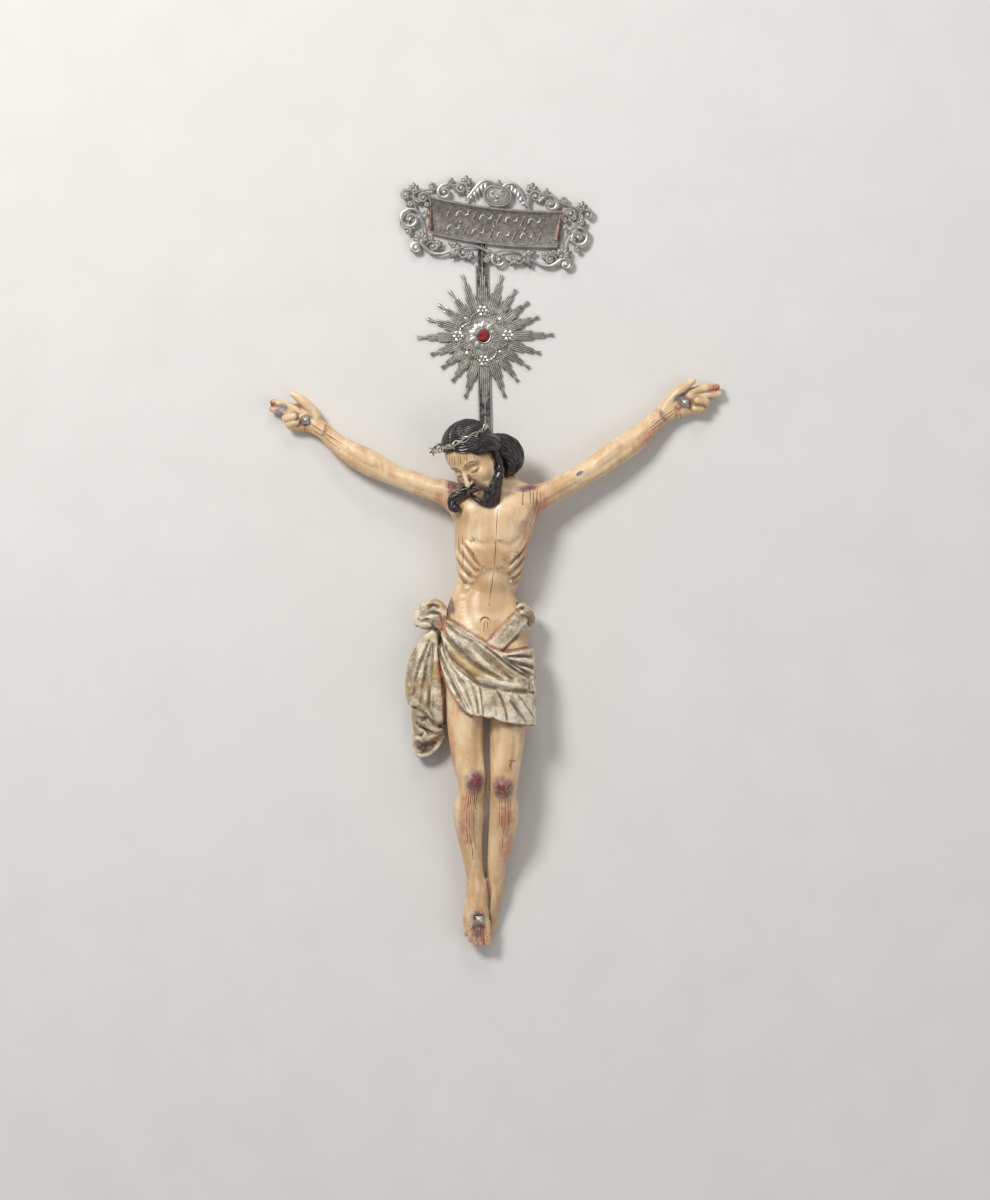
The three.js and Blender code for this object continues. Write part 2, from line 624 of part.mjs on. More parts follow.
function halo() {
  const boss = [[0, 0], [0.44, 0], [0.44, 1.2], [0.4, 1.7], [0.33, 1.2], [0.16, 1.9], [0, 1.9]];
  const dish = new THREE.LatheGeometry(
    boss.map(([r, h]) => new THREE.Vector2(r * HALO_RADIUS, h * HALO_THICKNESS)),
    12,
  ).rotateX(Math.PI / 2);
  let solid = join([dish, rays()]);
  const rosette = join([
    flower(5, HALO_RADIUS * 0.11, HALO_THICKNESS * 2),
    new THREE.SphereGeometry(HALO_RADIUS * 0.045, 5, 3).translate(0, 0, HALO_THICKNESS * 2),
  ]).translate([0, HALO_RADIUS * 0.38, 0]);
  for (let i = 0; i < 4; i++) solid = solid.add(rosette.rotate([0, 0, i * 90]));
  solid = solid.add(toSolid(flower(8, HALO_RADIUS * 0.27, HALO_THICKNESS * 2.1)));
  const stoneRadius = STONE_DIAMETER / 2 + CLEARANCE;
  const stoneFloor = HALO_THICKNESS * 1.6;
  const tube = (radius, low, high) => toSolid(
    new THREE.CylinderGeometry(radius, radius, high - low, 12)
      .rotateX(Math.PI / 2)
      .translate(0, 0, (low + high) / 2),
  );
  solid = solid
    .add(tube(stoneRadius + COLLET_WALL, 0, stoneFloor + STONE_HEIGHT * 0.5))
    .subtract(tube(stoneRadius, stoneFloor, stoneFloor + STONE_HEIGHT * 2))
    .rotate([0, 0, STEM_LEAN])
    .translate([HALO_CENTRE.x * u, HALO_CENTRE.y * u, haloBase / 2]);
  return toMesh("halo", solid.add(toSolid(stemStrip())), SILVER);
}

function stone() {
  const radius = STONE_DIAMETER / 2;
  const profile = [[0, 0], [0.85, 0], [1, 0.45], [0.6, 1], [0, 1]];
  const cut = new THREE.LatheGeometry(
    profile.map(([r, h]) => new THREE.Vector2(r * radius, h * STONE_HEIGHT)),
    10,
  );
  const lift = haloBase / 2 + HALO_THICKNESS * 1.6 + CLEARANCE;
  cut.rotateX(Math.PI / 2).translate(HALO_CENTRE.x * u, HALO_CENTRE.y * u, lift);
  return toMesh("halo_stone", toSolid(cut), GLASS);
}

// Title plate: a bowed panel in a frame of vine scrolls. The tables below are for the right
// half, in steps of a 66th of the panel's half width, and are mirrored for the left.
const s = TITLE_WIDTH / 132;
const VOLUTES = [
  [53, 25, 7, 1],
  [93, 17, 5.5, 1],
  [83, -6, 10.5, -1],
  [74.5, -35, 6, -1],
  [9, -34, 7.5, 1],
];
const VINES = [
  [[5, 37], [11, 41], [18, 38], [25, 30], [33, 14]],
  [[30, 21], [46, 20], [60, 26], [74, 24], [90, 21]],
  [[83, 24], [81, 12], [76, -1], [77, -14], [82, -22], [72, -31]],
  [[-3, -27], [8, -23.5], [21, -22.5], [33, -28], [46, -37], [59, -40], [70, -32]],
];
const LEAVES = [
  [33, 30, 12, 85],
  [85, 24, 8, 80],
  [69, 15, 7, 20],
  [88, 7, 7, 15],
  [66, -20, 9, -35],
  [41, -33, 12, -85],
  [22, -28, 12, -90],
];

const VOLUTE_STEPS = 4;

const flatLimb = (points, radius, steps) =>
  limb(points.map(([x, y]) => [x, y, 0, radius, (TITLE_THICKNESS * 0.7) / s]), 3, steps, s);

function volute([x, y, r, hand]) {
  const turns = 1.1;
  const points = Array.from({ length: VOLUTE_STEPS + 1 }, (_, i) => {
    const done = i / VOLUTE_STEPS;
    const angle = (turns * 2 * done + 0.5) * Math.PI;
    const reach = (r - 1) * (1 - 0.8 * done);
    return [x + reach * Math.cos(angle) * hand, y + reach * Math.sin(angle)];
  });
  return flatLimb(points, 2.8, VOLUTE_STEPS);
}

function leaf([x, y, size, degrees]) {
  const outline = new THREE.Shape();
  const lobes = 2;
  for (let i = 0; i <= lobes * 2; i++) {
    const turn = ((i / lobes - 1) * 0.8) * Math.PI;
    const reach = size * (i % 2 ? 1 : 0.6);
    outline[i ? "lineTo" : "moveTo"](reach * Math.cos(turn) * s, reach * Math.sin(turn) * s);
  }
  outline.closePath();
  return new THREE.ExtrudeGeometry(outline, { depth: TITLE_THICKNESS * 0.8, bevelEnabled: false })
    .translate(0, 0, -TITLE_THICKNESS / 2)
    .rotateZ(THREE.MathUtils.degToRad(degrees))
    .translate(x * s, y * s, 0);
}

function titlePlate() {
  const [w, h] = [TITLE_WIDTH / 2, TITLE_HEIGHT / 2];
  const panel = new THREE.Shape();
  panel.moveTo(-w, h);
  panel.quadraticCurveTo(0, h - 2 * TITLE_SAG, w, h);
  panel.lineTo(w * 0.97, -h);
  panel.quadraticCurveTo(0, -h - 2 * TITLE_SAG, -w * 0.97, -h);
  panel.closePath();
  const solidPanel = { depth: TITLE_THICKNESS, bevelEnabled: false, curveSegments: 4 };
  const board = new THREE.ExtrudeGeometry(panel, solidPanel).translate(0, 0, -TITLE_THICKNESS / 2);
  const heart = new THREE.SphereGeometry(1, 6, 3)
    .rotateX(Math.PI / 2)
    .scale(8.5 * s, 12 * s, TITLE_THICKNESS)
    .translate(5 * s, 25 * s, 0);
  const right = join([
    ...VOLUTES.map(volute),
    ...VINES.map((vine) => flatLimb(vine, 2.8, vine.length - 1)),
    ...LEAVES.map(leaf),
    heart,
  ]);
  const whole = right.add(right.mirror([1, 0, 0])).add(toSolid(board));
  const lift = haloBase + CLEARANCE + TITLE_THICKNESS;
  const placed = whole
    .rotate([0, 0, -TITLE_TILT])
    .translate([TITLE_CENTRE.x * u, TITLE_CENTRE.y * u, lift]);
  return toMesh("title_plate", placed, SILVER);
}

const figure = new THREE.Group();
figure.add(corpus(), halo(), stone(), titlePlate(), toMesh("crown_of_thorns", crownOfThorns(), SILVER));
for (const [name, place] of Object.entries(NAILS)) {
  figure.add(toMesh(name, nail(place), SILVER));
}
const extent = new THREE.Box3().setFromObject(figure);
const middle = extent.getCenter(new THREE.Vector3());
figure.position.set(-middle.x, -middle.y, -extent.min.z);

export default figure;
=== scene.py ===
import itertools
import math

import bmesh
import bpy
import numpy as np
from mathutils import Matrix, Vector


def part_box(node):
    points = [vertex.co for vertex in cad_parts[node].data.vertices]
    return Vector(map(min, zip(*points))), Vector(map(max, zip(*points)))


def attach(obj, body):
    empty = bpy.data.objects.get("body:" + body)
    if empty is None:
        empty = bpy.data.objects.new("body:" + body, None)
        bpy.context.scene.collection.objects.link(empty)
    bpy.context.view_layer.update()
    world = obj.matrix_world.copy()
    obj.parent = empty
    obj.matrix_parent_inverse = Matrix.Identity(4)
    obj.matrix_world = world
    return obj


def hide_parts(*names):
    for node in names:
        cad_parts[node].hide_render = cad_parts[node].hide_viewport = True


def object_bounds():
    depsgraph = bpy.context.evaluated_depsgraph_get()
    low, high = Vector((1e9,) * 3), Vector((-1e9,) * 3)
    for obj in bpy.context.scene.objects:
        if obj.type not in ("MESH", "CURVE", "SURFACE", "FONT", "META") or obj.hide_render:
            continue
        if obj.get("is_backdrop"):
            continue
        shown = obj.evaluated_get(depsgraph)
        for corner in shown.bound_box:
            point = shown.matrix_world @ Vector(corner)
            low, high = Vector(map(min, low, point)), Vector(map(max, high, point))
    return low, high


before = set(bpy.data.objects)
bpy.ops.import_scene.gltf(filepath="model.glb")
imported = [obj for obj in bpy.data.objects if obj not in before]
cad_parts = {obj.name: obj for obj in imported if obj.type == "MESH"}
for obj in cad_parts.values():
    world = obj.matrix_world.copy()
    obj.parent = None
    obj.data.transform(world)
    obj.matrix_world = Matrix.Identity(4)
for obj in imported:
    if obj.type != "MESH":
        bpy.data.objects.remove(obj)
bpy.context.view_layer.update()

# Carving block
# The figure is cut from one block of limewood. Its surface is found on a measuring grid of
# 530 steps from the toe tips to the crown of the hair, with the back at zero and +Z towards
# the face. Flesh, hair and cloth are carved in blocks of their own and then joined.
FIGURE_HEIGHT = 0.318
STEP = FIGURE_HEIGHT / 530
NAIL_PLACES = {
    "nail_right_hand": (-181, 530, 15.2),
    "nail_left_hand": (200, 547.3, 15.2),
    "nail_feet": (-6.8, 29.4, 26.6),
}
feet_low, feet_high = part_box("nail_feet")
MIDLINE = (feet_low.x + feet_high.x) / 2 - NAIL_PLACES["nail_feet"][0] * STEP
TOE_LINE = (feet_low.y + feet_high.y) / 2 - NAIL_PLACES["nail_feet"][1] * STEP
AIR = 12.0
BAND = 7.0


def spaced(stops, gaps):
    """Cuts along one edge of the block: a finer gap between some stops than others."""
    runs = [np.arange(a, b, g) for a, b, g in zip(stops, stops[1:], gaps)]
    return np.concatenate(runs).astype(np.float32)


COARSE, FINE = 0.8, 0.56
CUTS = [
    spaced([-222, -86, -42, 34, 56, 242], [COARSE, COARSE * 0.9, FINE, COARSE * 0.9, COARSE]),
    spaced([-4, 60, 190, 425, 532, 576], [COARSE * 0.8, COARSE, COARSE * 0.9, FINE, COARSE * 0.9]),
    spaced([-1.5, 91], [(COARSE + FINE) / 2]),
]


def smooth(stations, steps):
    """Rows of numbers run through the stations on a smooth curve."""
    s = np.array(stations, float)
    held = np.vstack([2 * s[0] - s[1], s, 2 * s[-1] - s[-2]])
    t = np.linspace(0, len(s) - 1, (len(s) - 1) * steps + 1)
    i = np.minimum(t.astype(int), len(s) - 2)
    f = (t - i)[:, None]
    a, b, c, d = (held[i + k] for k in range(4))
    return 0.5 * (2 * b + (c - a) * f + (2 * a - 5 * b + 4 * c - d) * f**2 + (3 * b - a - 3 * c + d) * f**3)


class Clay:
    """A block of wood as the distance from each grid point to the surface, less than 0 inside."""

    def __init__(self, low=(-999,) * 3, high=(999,) * 3):
        self.spans = [slice(*np.searchsorted(c, (a, b))) for c, a, b in zip(CUTS, low, high)]
        self.cuts = [c[s] for c, s in zip(CUTS, self.spans)]
        self.depth = np.full([len(c) for c in self.cuts], AIR, np.float32)

    def window(self, low, high):
        """The part of the block within these corners, and its grid points."""
        spans = []
        for cut, a, b in zip(self.cuts, low, high):
            first, last = np.searchsorted(cut, (a, b))
            spans.append(slice(max(0, first - 1), min(len(cut), last + 1)))
        return tuple(spans), np.ix_(*(c[s] for c, s in zip(self.cuts, spans)))

    def ball(self, middle, radii, turn=np.eye(3)):
        """A ball, or an egg where the three radii differ, in the frame of the turn."""
        middle, radii = np.array(middle, float), np.array(radii, float)
        reach = np.sqrt(((turn * radii) ** 2).sum(1)) + BAND
        spans, grid = self.window(middle - reach, middle + reach)
        offset = [g - np.float32(m) for g, m in zip(grid, middle)]
        near, far = 0, 0
        for axis, radius in zip(turn.T, radii):
            part = sum(o * np.float32(a) for o, a in zip(offset, axis)) / np.float32(radius)
            near = near + part**2
            far = far + (part / np.float32(radius)) ** 2
        near = np.sqrt(near)
        return spans, near * (near - 1) / np.maximum(np.sqrt(far), 1e-6)

    def limb(self, stations, steps=3, flutes=0, cut=0.0, twist=0.0):
        """A rounded limb through stations of x, y, z, half width and half depth."""
        rows = smooth([(*s, s[-1])[:5] for s in stations], steps)
        reach = rows[:, 3:].max() + BAND
        spans, grid = self.window(rows[:, :3].min(0) - reach, rows[:, :3].max(0) + reach)
        start = [s.start for s in spans]
        shape = [s.stop - s.start for s in spans]
        skin = np.full(shape, AIR, np.float32)
        run = 0.0
        for a, b in zip(rows, rows[1:]):
            span = b[:3] - a[:3]
            length = max(np.linalg.norm(span), 1e-6)
            along = span / length
            across = np.cross(along, (0, 0, 1))
            if np.linalg.norm(across) < 0.2:
                across = np.array([1.0, 0, 0])
            across /= np.linalg.norm(across)
            out = np.cross(across, along)
            wide, deep = max(a[3], b[3]), max(a[4], b[4])
            half = np.sqrt((wide * across) ** 2 + (deep * out) ** 2 + (min(wide, deep) * along) ** 2)
            half = half + BAND * 0.8
            low = np.minimum(a[:3], b[:3]) - half
            high = np.maximum(a[:3], b[:3]) + half
            inner, (x, y, z) = self.window(low, high)
            inner = tuple(
                slice(max(0, i.start - s), min(n, i.stop - s)) for i, s, n in zip(inner, start, shape)
            )
            x, y, z = (g[tuple(i if k == j else slice(None) for j in range(3))]
                       for k, (g, i) in enumerate(zip(grid, inner)))
            x, y, z = (g - np.float32(m) for g, m in zip((x, y, z), a))
            axes = np.float32([along, across, out])
            ahead = x * axes[0, 0] + y * axes[0, 1] + z * axes[0, 2]
            t = np.clip(ahead / np.float32(length), 0, 1)
            past = ahead - t * np.float32(length)
            side = x * axes[1, 0] + y * axes[1, 1] + z * axes[1, 2]
            front = x * axes[2, 0] + y * axes[2, 1] + z * axes[2, 2]
            w = np.float32(a[3]) + np.float32(b[3] - a[3]) * t
            d = np.float32(a[4]) + np.float32(b[4] - a[4]) * t
            e = np.minimum(w, d)
            side_share, front_share, past_share = side / w, front / d, past / e
            near = np.sqrt(side_share**2 + front_share**2 + past_share**2)
            far = np.sqrt((side_share / w) ** 2 + (front_share / d) ** 2 + (past_share / e) ** 2)
            gap = near * (near - 1) / np.maximum(far, 1e-6)
            if flutes:
                angle = np.arctan2(front_share, side_share) + np.float32(twist) * (run + length * t)
                gap = gap - np.float32(cut) * (np.abs(np.sin(angle * (flutes / 2))) - 0.5)
            skin[inner] = np.minimum(skin[inner], gap)
            run += length
        return spans, skin

    def join(self, form, blend=0.0):
        """Adds a form, run into what is there over the width of the blend."""
        spans, gap = form
        there = self.depth[spans]
        if blend:
            share = np.clip(0.5 + (there - gap) * np.float32(0.5 / blend), 0, 1)
            gap = there + (gap - there) * share - np.float32(blend) * share * (1 - share)
        self.depth[spans] = np.minimum(there, gap)

    def carve(self, form, blend=0.0):
        """Cuts a form away."""
        spans, gap = form
        there, gap = self.depth[spans], -gap
        if blend:
            share = np.clip(0.5 - (there - gap) * np.float32(0.5 / blend), 0, 1)
            gap = there + (gap - there) * share + np.float32(blend) * share * (1 - share)
        self.depth[spans] = np.maximum(there, gap)

    def stroke(self, points, width, lift, steps=3):
        """Raises the surface along a path, or hollows it where lift is less than 0."""
        rows = smooth(points, steps) if len(points) > 1 else np.array(points, float)
        reach = 2.3 * width
        spans, (x, y, z) = self.window(rows[:, :3].min(0) - reach, rows[:, :3].max(0) + reach)
        nearest = None
        for a, b in zip(rows, rows[1:] if len(rows) > 1 else rows):
            span = np.float32(b[:3] - a[:3])
            length2 = max(float(span @ span), 1e-6)
            px, py, pz = (g - np.float32(m) for g, m in zip((x, y, z), a))
            t = np.clip((px * span[0] + py * span[1] + pz * span[2]) / np.float32(length2), 0, 1)
            gap = (px - t * span[0]) ** 2 + (py - t * span[1]) ** 2 + (pz - t * span[2]) ** 2
            nearest = gap if nearest is None else np.minimum(nearest, gap)
        self.depth[spans] -= np.float32(lift) * np.exp(nearest * np.float32(-1 / width**2))

    def grow(self, stations, blend=0.0, *form):
        """Adds a limb: its stations, the blend, and its steps, flutes, cut and twist."""
        self.join(self.limb(stations, *form), blend)

    def score(self, rows):
        """Strokes over the surface as seen from the front, each a line, a width and a lift."""
        for line, width, lift in rows:
            self.stroke(self.laid(line), width, lift)

    def take(self, block, blend=0.0):
        """Joins a smaller block, or one of the same size, to this one."""
        spans = (slice(b.start - s.start, b.stop - s.start) for b, s in zip(block.spans, self.spans))
        self.join((tuple(spans), block.depth), blend)

    def front(self, x, y):
        """Height of the foremost surface over a point of the grid."""
        i, j = (int(np.clip(np.searchsorted(c, v), 0, len(c) - 1)) for c, v in zip(self.cuts, (x, y)))
        column = self.depth[i, j]
        inside = np.nonzero(column < 0)[0]
        if not len(inside):
            return float(self.cuts[2][0])
        k = min(inside[-1], len(column) - 2)
        share = column[k] / (column[k] - column[k + 1])
        return float(self.cuts[2][k] + share * (self.cuts[2][k + 1] - self.cuts[2][k]))

    def laid(self, points):
        """Points of the front view laid on the surface."""
        return [(x, y, self.front(x, y)) for x, y in points]

    def at(self, points):
        """Distance to the surface at any points."""
        low, share = [], []
        for cut, p in zip(self.cuts, points.T):
            i = np.clip(np.searchsorted(cut, p) - 1, 0, len(cut) - 2)
            low.append(i)
            share.append(np.clip((p - cut[i]) / (cut[i + 1] - cut[i]), 0, 1))
        total = 0
        for corner in itertools.product((0, 1), repeat=3):
            weight = 1
            for s, c in zip(share, corner):
                weight = weight * (s if c else 1 - s)
            total = total + weight * self.depth[tuple(i + c for i, c in zip(low, corner))]
        return total


# Flesh
# Torso, legs, feet, arms and hands, cut round and lean: the ribs stand out over a drawn-in
# belly, the knees and shins are bony, and the right foot lies over the left.
TORSO = [
    (7, 467, 20, 17, 16), (8, 457, 23, 33, 21), (8.5, 446, 25.5, 40, 26.5), (9, 434, 27.5, 41.5, 29),
    (7, 418, 28.5, 38.5, 29.5), (4.8, 402, 28, 36.3, 29), (4, 386, 26.5, 33.5, 27),
    (2.3, 370, 23.5, 30.3, 23.5), (1, 359, 22.5, 29.5, 21.5), (-1.5, 349, 22.5, 33.5, 22),
    (-2, 335, 23.5, 38, 24), (-1, 318, 25, 41, 26), (0, 296, 26, 42, 27), (0, 272, 27, 38, 24),
]
RIGHT_LEG = [
    (-19, 300, 27, 22, 24), (-20.5, 262, 30, 20.5, 22), (-20.5, 218, 34, 17.6, 18.5),
    (-17.5, 190, 38.5, 16, 16.5), (-13.5, 168, 42, 14.6, 15.5), (-15.5, 152, 38.5, 13.6, 14),
    (-17.6, 136, 33, 15.4, 15.6), (-16.3, 114, 26.5, 12.4, 12.6), (-13.5, 90, 22, 9.6, 10),
    (-10, 70, 20, 9, 9.5), (-8.5, 56, 19.5, 10, 10),
]
LEFT_LEG = [
    (20, 300, 27, 22, 24), (21.5, 262, 30, 20.5, 22), (21.5, 218, 34, 17.6, 18.5),
    (19.5, 190, 38, 16, 16.5), (17, 165, 41, 14.3, 15.5), (16.5, 152, 37.5, 13.4, 14),
    (18, 136, 31, 15.2, 15.4), (15.5, 114, 24, 13.3, 13), (11.5, 90, 17.5, 10.6, 10.5),
    (8.3, 70, 13, 9.6, 9.5), (8, 56, 10.5, 8.8, 9),
]
RIGHT_FOOT = [
    (-8.5, 60, 19.5, 10, 10), (-10, 44, 20.5, 11.8, 9), (-10.2, 30, 19.5, 13.2, 7.5),
    (-9.5, 18, 17, 12.6, 5.5),
]
LEFT_FOOT = [
    (8, 60, 10.5, 8.8, 9.5), (5, 44, 9, 8.8, 9), (2.2, 32, 7.5, 9.2, 8), (-1, 20, 5.5, 8.5, 6),
    (-3, 8, 4.5, 7, 4.6),
]
# Toes of the upper foot, little toe first: x at the root, x and y at the tip, radius.
TOES = [
    (-19, -20, 13, 3.1), (-14.8, -15.4, 7, 3.1), (-10.4, -10.7, 3.6, 3.2), (-5.6, -5.4, 3.2, 3.4),
    (0.6, 1.6, 4.2, 4),
]
RIGHT_ARM = [
    (-22, 447, 27, 17, 17), (-42, 457.5, 26, 13, 13), (-58, 462, 24.5, 10.8, 10.8),
    (-74, 468, 22.5, 11.2, 11.2), (-90, 473.7, 20.5, 10.2, 10.2), (-106, 481.5, 19, 12.2, 11.4),
    (-122, 489.7, 17, 12.9, 11.5), (-138, 498.2, 15, 11.6, 10.4), (-150, 507, 13, 9.6, 9),
    (-161, 517.5, 11, 8.2, 7.8), (-173, 526, 9, 9.5, 7.8), (-184, 532, 7, 13.2, 8.5),
    (-193, 535.5, 7, 12, 7),
]
LEFT_ARM = [
    (34, 446, 27, 17, 17), (56, 453.5, 26, 13, 13), (66, 458.5, 25, 11.4, 11.4),
    (82, 466.7, 23, 10.9, 10.9), (98, 475.6, 21, 10.9, 10.6), (114, 485.2, 19, 12, 11.2),
    (130, 497.3, 17, 13, 11.4), (146, 507.3, 15, 12.3, 10.8), (162, 521.5, 13, 10.1, 9.4),
    (175, 533.5, 10.5, 9.3, 8), (187, 541.5, 8.5, 11, 8), (199, 547.5, 7, 13.4, 8.5),
    (208, 550.5, 7, 12.4, 7),
]
FINGERS = [
    [(-171, 533, 10, 6.4), (-178, 543.5, 12, 5.2), (-186.5, 551.5, 13, 4.4), (-194.5, 556.5, 13, 3)],
    [(-191, 541.5, 9, 4.5), (-204, 545.5, 10, 4.1), (-214, 548.3, 9, 3.4)],
    [(-192, 535.5, 9, 4.7), (-204.5, 539.3, 10, 4.2), (-214.5, 541.6, 8.5, 3.4)],
    [(-190, 530, 9, 4.8), (-200.5, 532.2, 12, 4.7), (-193, 533.6, 16, 4)],
    [(-187, 523.5, 9, 4.6), (-197.5, 525.8, 11.5, 4.3), (-190.5, 527.8, 15, 3.6)],
    [(181, 543, 10, 7), (191, 556, 12, 5.6), (201, 564.5, 13, 4.2), (208, 569.3, 13, 2.8)],
    [(205, 557.8, 9, 4.7), (220, 562.3, 10, 4.3), (231.5, 563.8, 9, 3.5)],
    [(207, 551.8, 9, 4.7), (222, 554.6, 10, 4.2), (234.2, 557.2, 9, 3.3)],
    [(209, 546.5, 9, 4.9), (220.5, 548.4, 12, 4.8), (212.5, 549.6, 16, 4)],
    [(206, 540.5, 9, 4.7), (216.5, 541, 11.5, 4.3), (209.5, 541.6, 15, 3.6)],
]
NECK = [(2, 488, 36, 15, 15), (8, 474, 29, 15.5, 14), (9, 458, 26, 22, 15)]

flesh = Clay()
flesh.grow(TORSO, 0, 4)
for side in (-11, 28):
    flesh.join(flesh.ball((side, 437, 40), (20, 17, 15.5)), 9)
for stations, blend in (
    (NECK, 7), (RIGHT_LEG, 2), (LEFT_LEG, 2), (RIGHT_ARM, 7), (LEFT_ARM, 7), (LEFT_FOOT, 3),
):
    flesh.grow(stations, blend)
for finger in FINGERS:
    flesh.grow(finger, 1.6, 4)
sole = Clay((-40, -10, -2), (20, 80, 60))
sole.grow(RIGHT_FOOT)
TOE_ROOT = 24
for root_x, tip_x, tip_y, r in TOES:
    knuckle = ((root_x + tip_x) / 2, (TOE_ROOT + tip_y) / 2, 18.6, r * 0.9)
    sole.grow([(root_x, TOE_ROOT + 2, 19, r), knuckle, (tip_x, tip_y + 2, 15.5, r)], 1.2)
flesh.take(sole, 2.2)

# Left toes show below and beside the right ones.
for x, y, r in ((-1, 10, 3), (3, 13, 3.2), (7, 19, 3.4)):
    flesh.grow([(x + 2, y + 12, 7, r), (x, y, 5, r * 0.95)], 2)

# Ribs run down from the flanks to the arch of the chest, steeply, with hollows between.
RIBS = [
    [(-20.1, 406.9), (-13.7, 399.8), (-8.5, 391), (-3.9, 384.5)],
    [(-24.3, 402.7), (-20, 396.3), (-14.4, 388.6), (-7.6, 381)],
    [(-29.2, 396.3), (-22.9, 387.2), (-18, 381), (-11, 374)],
    [(-30.5, 388), (-25, 376.7), (-18, 369.7), (-15.2, 367.6)],
    [(-27.5, 370.5), (-22.2, 362.7), (-18, 360.6)],
    [(41.6, 413.2), (36.7, 402.6), (29.7, 395), (24.2, 389.5)],
    [(39.5, 399), (33.2, 390.7), (27, 384.5), (24.3, 379.5)],
    [(38, 388), (33.2, 379.5), (27.6, 374)],
    [(34.6, 374.6), (29.7, 369), (25.5, 366.9)],
    [(32.5, 367), (27.6, 362)],
]
flesh.score((rib, 1.9, 1.9) for rib in RIBS)
SIDES_APART = 20
RIB_GAPS = [
    [((ax + bx) / 2, (ay + by) / 2) for (ax, ay), (bx, by) in zip(rib, below)]
    for rib, below in zip(RIBS, RIBS[1:]) if abs(rib[0][0] - below[0][0]) < SIDES_APART
]
flesh.score((gap, 1.6, -1.7) for gap in RIB_GAPS)
ARCH = [
    (-22, 358), (-13, 368), (-8.1, 373.6), (-3.9, 377.5), (0.3, 379.5), (5.9, 381.5), (14.3, 380),
    (18.5, 377.5), (24, 373), (30, 360),
]
flesh.score([([(x, y - 4) for x, y in ARCH], 5, -2.0), (ARCH, 2.0, 0.5)])
# Breast muscles, breastbone, collar bones, belly and navel.
flesh.score([
    ([(-18.5, 430), (-15.1, 416), (-13, 408.5), (-5, 405), (3, 406)], 3.2, -1.3),
    ([(37.5, 424), (34, 411), (24.5, 404), (16, 404), (9, 406)], 3.2, -1.2),
    ([(8, 458), (7, 440), (6, 424), (5, 408)], 4.5, -1.3),
    ([(5, 404), (4.5, 392), (4, 384)], 3.5, -0.5),
    ([(4, 461), (-12, 462), (-30, 464)], 2.6, 0.9),
    ([(14, 460), (30, 461), (44, 461)], 2.6, 0.9),
    ([(12, 455.5), (30, 456)], 3.0, -0.7),
    ([(-25, 428), (-31, 436), (-38, 446)], 4, -1.2),
    ([(41, 424), (46, 434), (53, 444)], 4, -1.2),
    ([(1, 372), (0, 356), (-1, 340)], 4.0, -0.5),
    ([(-1, 345), (-1, 325)], 13, 1.6),
    ([(-24, 352), (-30, 338), (-33, 330)], 5, 0.9),
    ([(24, 352), (30, 338), (34, 330)], 5, 0.9),
    ([(-20, 345), (-18, 332), (-10, 320)], 4, -0.6),
    ([(18, 345), (17, 332), (10, 320)], 4, -0.6),
    ([(-6.4, 409.3)], 1.5, 0.9),
    ([(15.4, 408.4)], 1.5, 0.9),
    ([(-5.0, 331), (-1.5, 333.4), (2.5, 331.5)], 1.6, 0.8),
    ([(-3.6, 330), (-0.8, 331), (1.9, 330)], 1.2, -1.6),
    ([(-1, 329.4)], 1.1, 1.0),
])
# Knees, shins, calves, ankles and the cords of the feet.
flesh.score([
    ([(-13, 170)], 5.5, 1.6), ([(17, 163)], 5.5, 1.6),
    ([(-21.5, 170), (-21, 160)], 3.4, -1.2), ([(-4.5, 168), (-5.5, 158)], 3.2, -1.1),
    ([(8.5, 164), (8.8, 155)], 3.2, -1.2), ([(25.5, 162), (25, 153)], 3.4, -1.1),
    ([(-13, 181), (-13.5, 179)], 4.5, -0.8), ([(17, 174), (17, 172)], 4.5, -0.8),
    ([(-14, 158), (-15, 150)], 3, 0.7), ([(16, 152), (15.8, 144)], 3, 0.7),
    ([(-14.5, 148), (-15.5, 130), (-14.5, 108), (-12, 84)], 2.0, 0.9),
    ([(15, 144), (14.6, 126), (12.6, 104), (9.5, 82)], 2.0, 0.9),
    ([(-23.5, 150), (-24, 134), (-21.5, 116)], 2.4, -0.7),
    ([(-9, 148), (-9.4, 132), (-10, 112)], 2.6, -0.6),
    ([(24.5, 148), (25, 132), (22, 112)], 2.4, -0.7),
    ([(10, 146), (9, 130), (8.5, 110)], 2.6, -0.6),
    ([(-18, 240), (-19, 210), (-16, 186)], 5, 0.9),
    ([(22, 236), (22, 206), (19, 184)], 5, 0.9),
    ([(-28, 225), (-27, 200), (-22, 182)], 3.0, -0.7),
    ([(-8, 222), (-8, 200), (-6, 184)], 3.0, -0.6),
    ([(30, 220), (29, 198), (25, 178)], 3.0, -0.7),
    ([(11, 220), (11, 198), (10, 180)], 3.0, -0.6),
    ([(-18.5, 66)], 2.8, 1.6), ([(-0.8, 68)], 2.8, 1.4), ([(16, 66)], 2.8, 1.4),
    ([(-9.5, 76), (-9, 62), (-9.3, 50)], 1.9, 0.8),
    ([(-13.5, 46), (-15.5, 34), (-17.5, 24)], 1.2, 0.7),
    ([(-11, 44), (-12.2, 33), (-13.8, 22)], 1.2, 0.7),
    ([(-8.8, 22), (-9.2, 30), (-9.5, 20)], 1.2, 0.6),
    ([(-5.5, 44), (-4, 34), (-5, 20)], 1.2, 0.7),
    ([(-3.4, 46), (-0.6, 34), (1, 22)], 1.4, 0.8),
    ([(8.5, 62), (6, 48), (3.5, 36)], 1.6, 0.7),
])
for root_x, tip_x, tip_y, r in TOES:
    flesh.score([
        ([(tip_x, tip_y + 3.2), (tip_x, tip_y + 1.2)], 1.2, -0.55),
        ([(root_x * 0.5 + tip_x * 0.5, (TOE_ROOT + tip_y) / 2 - 1)], 1.4, -0.4),
    ])
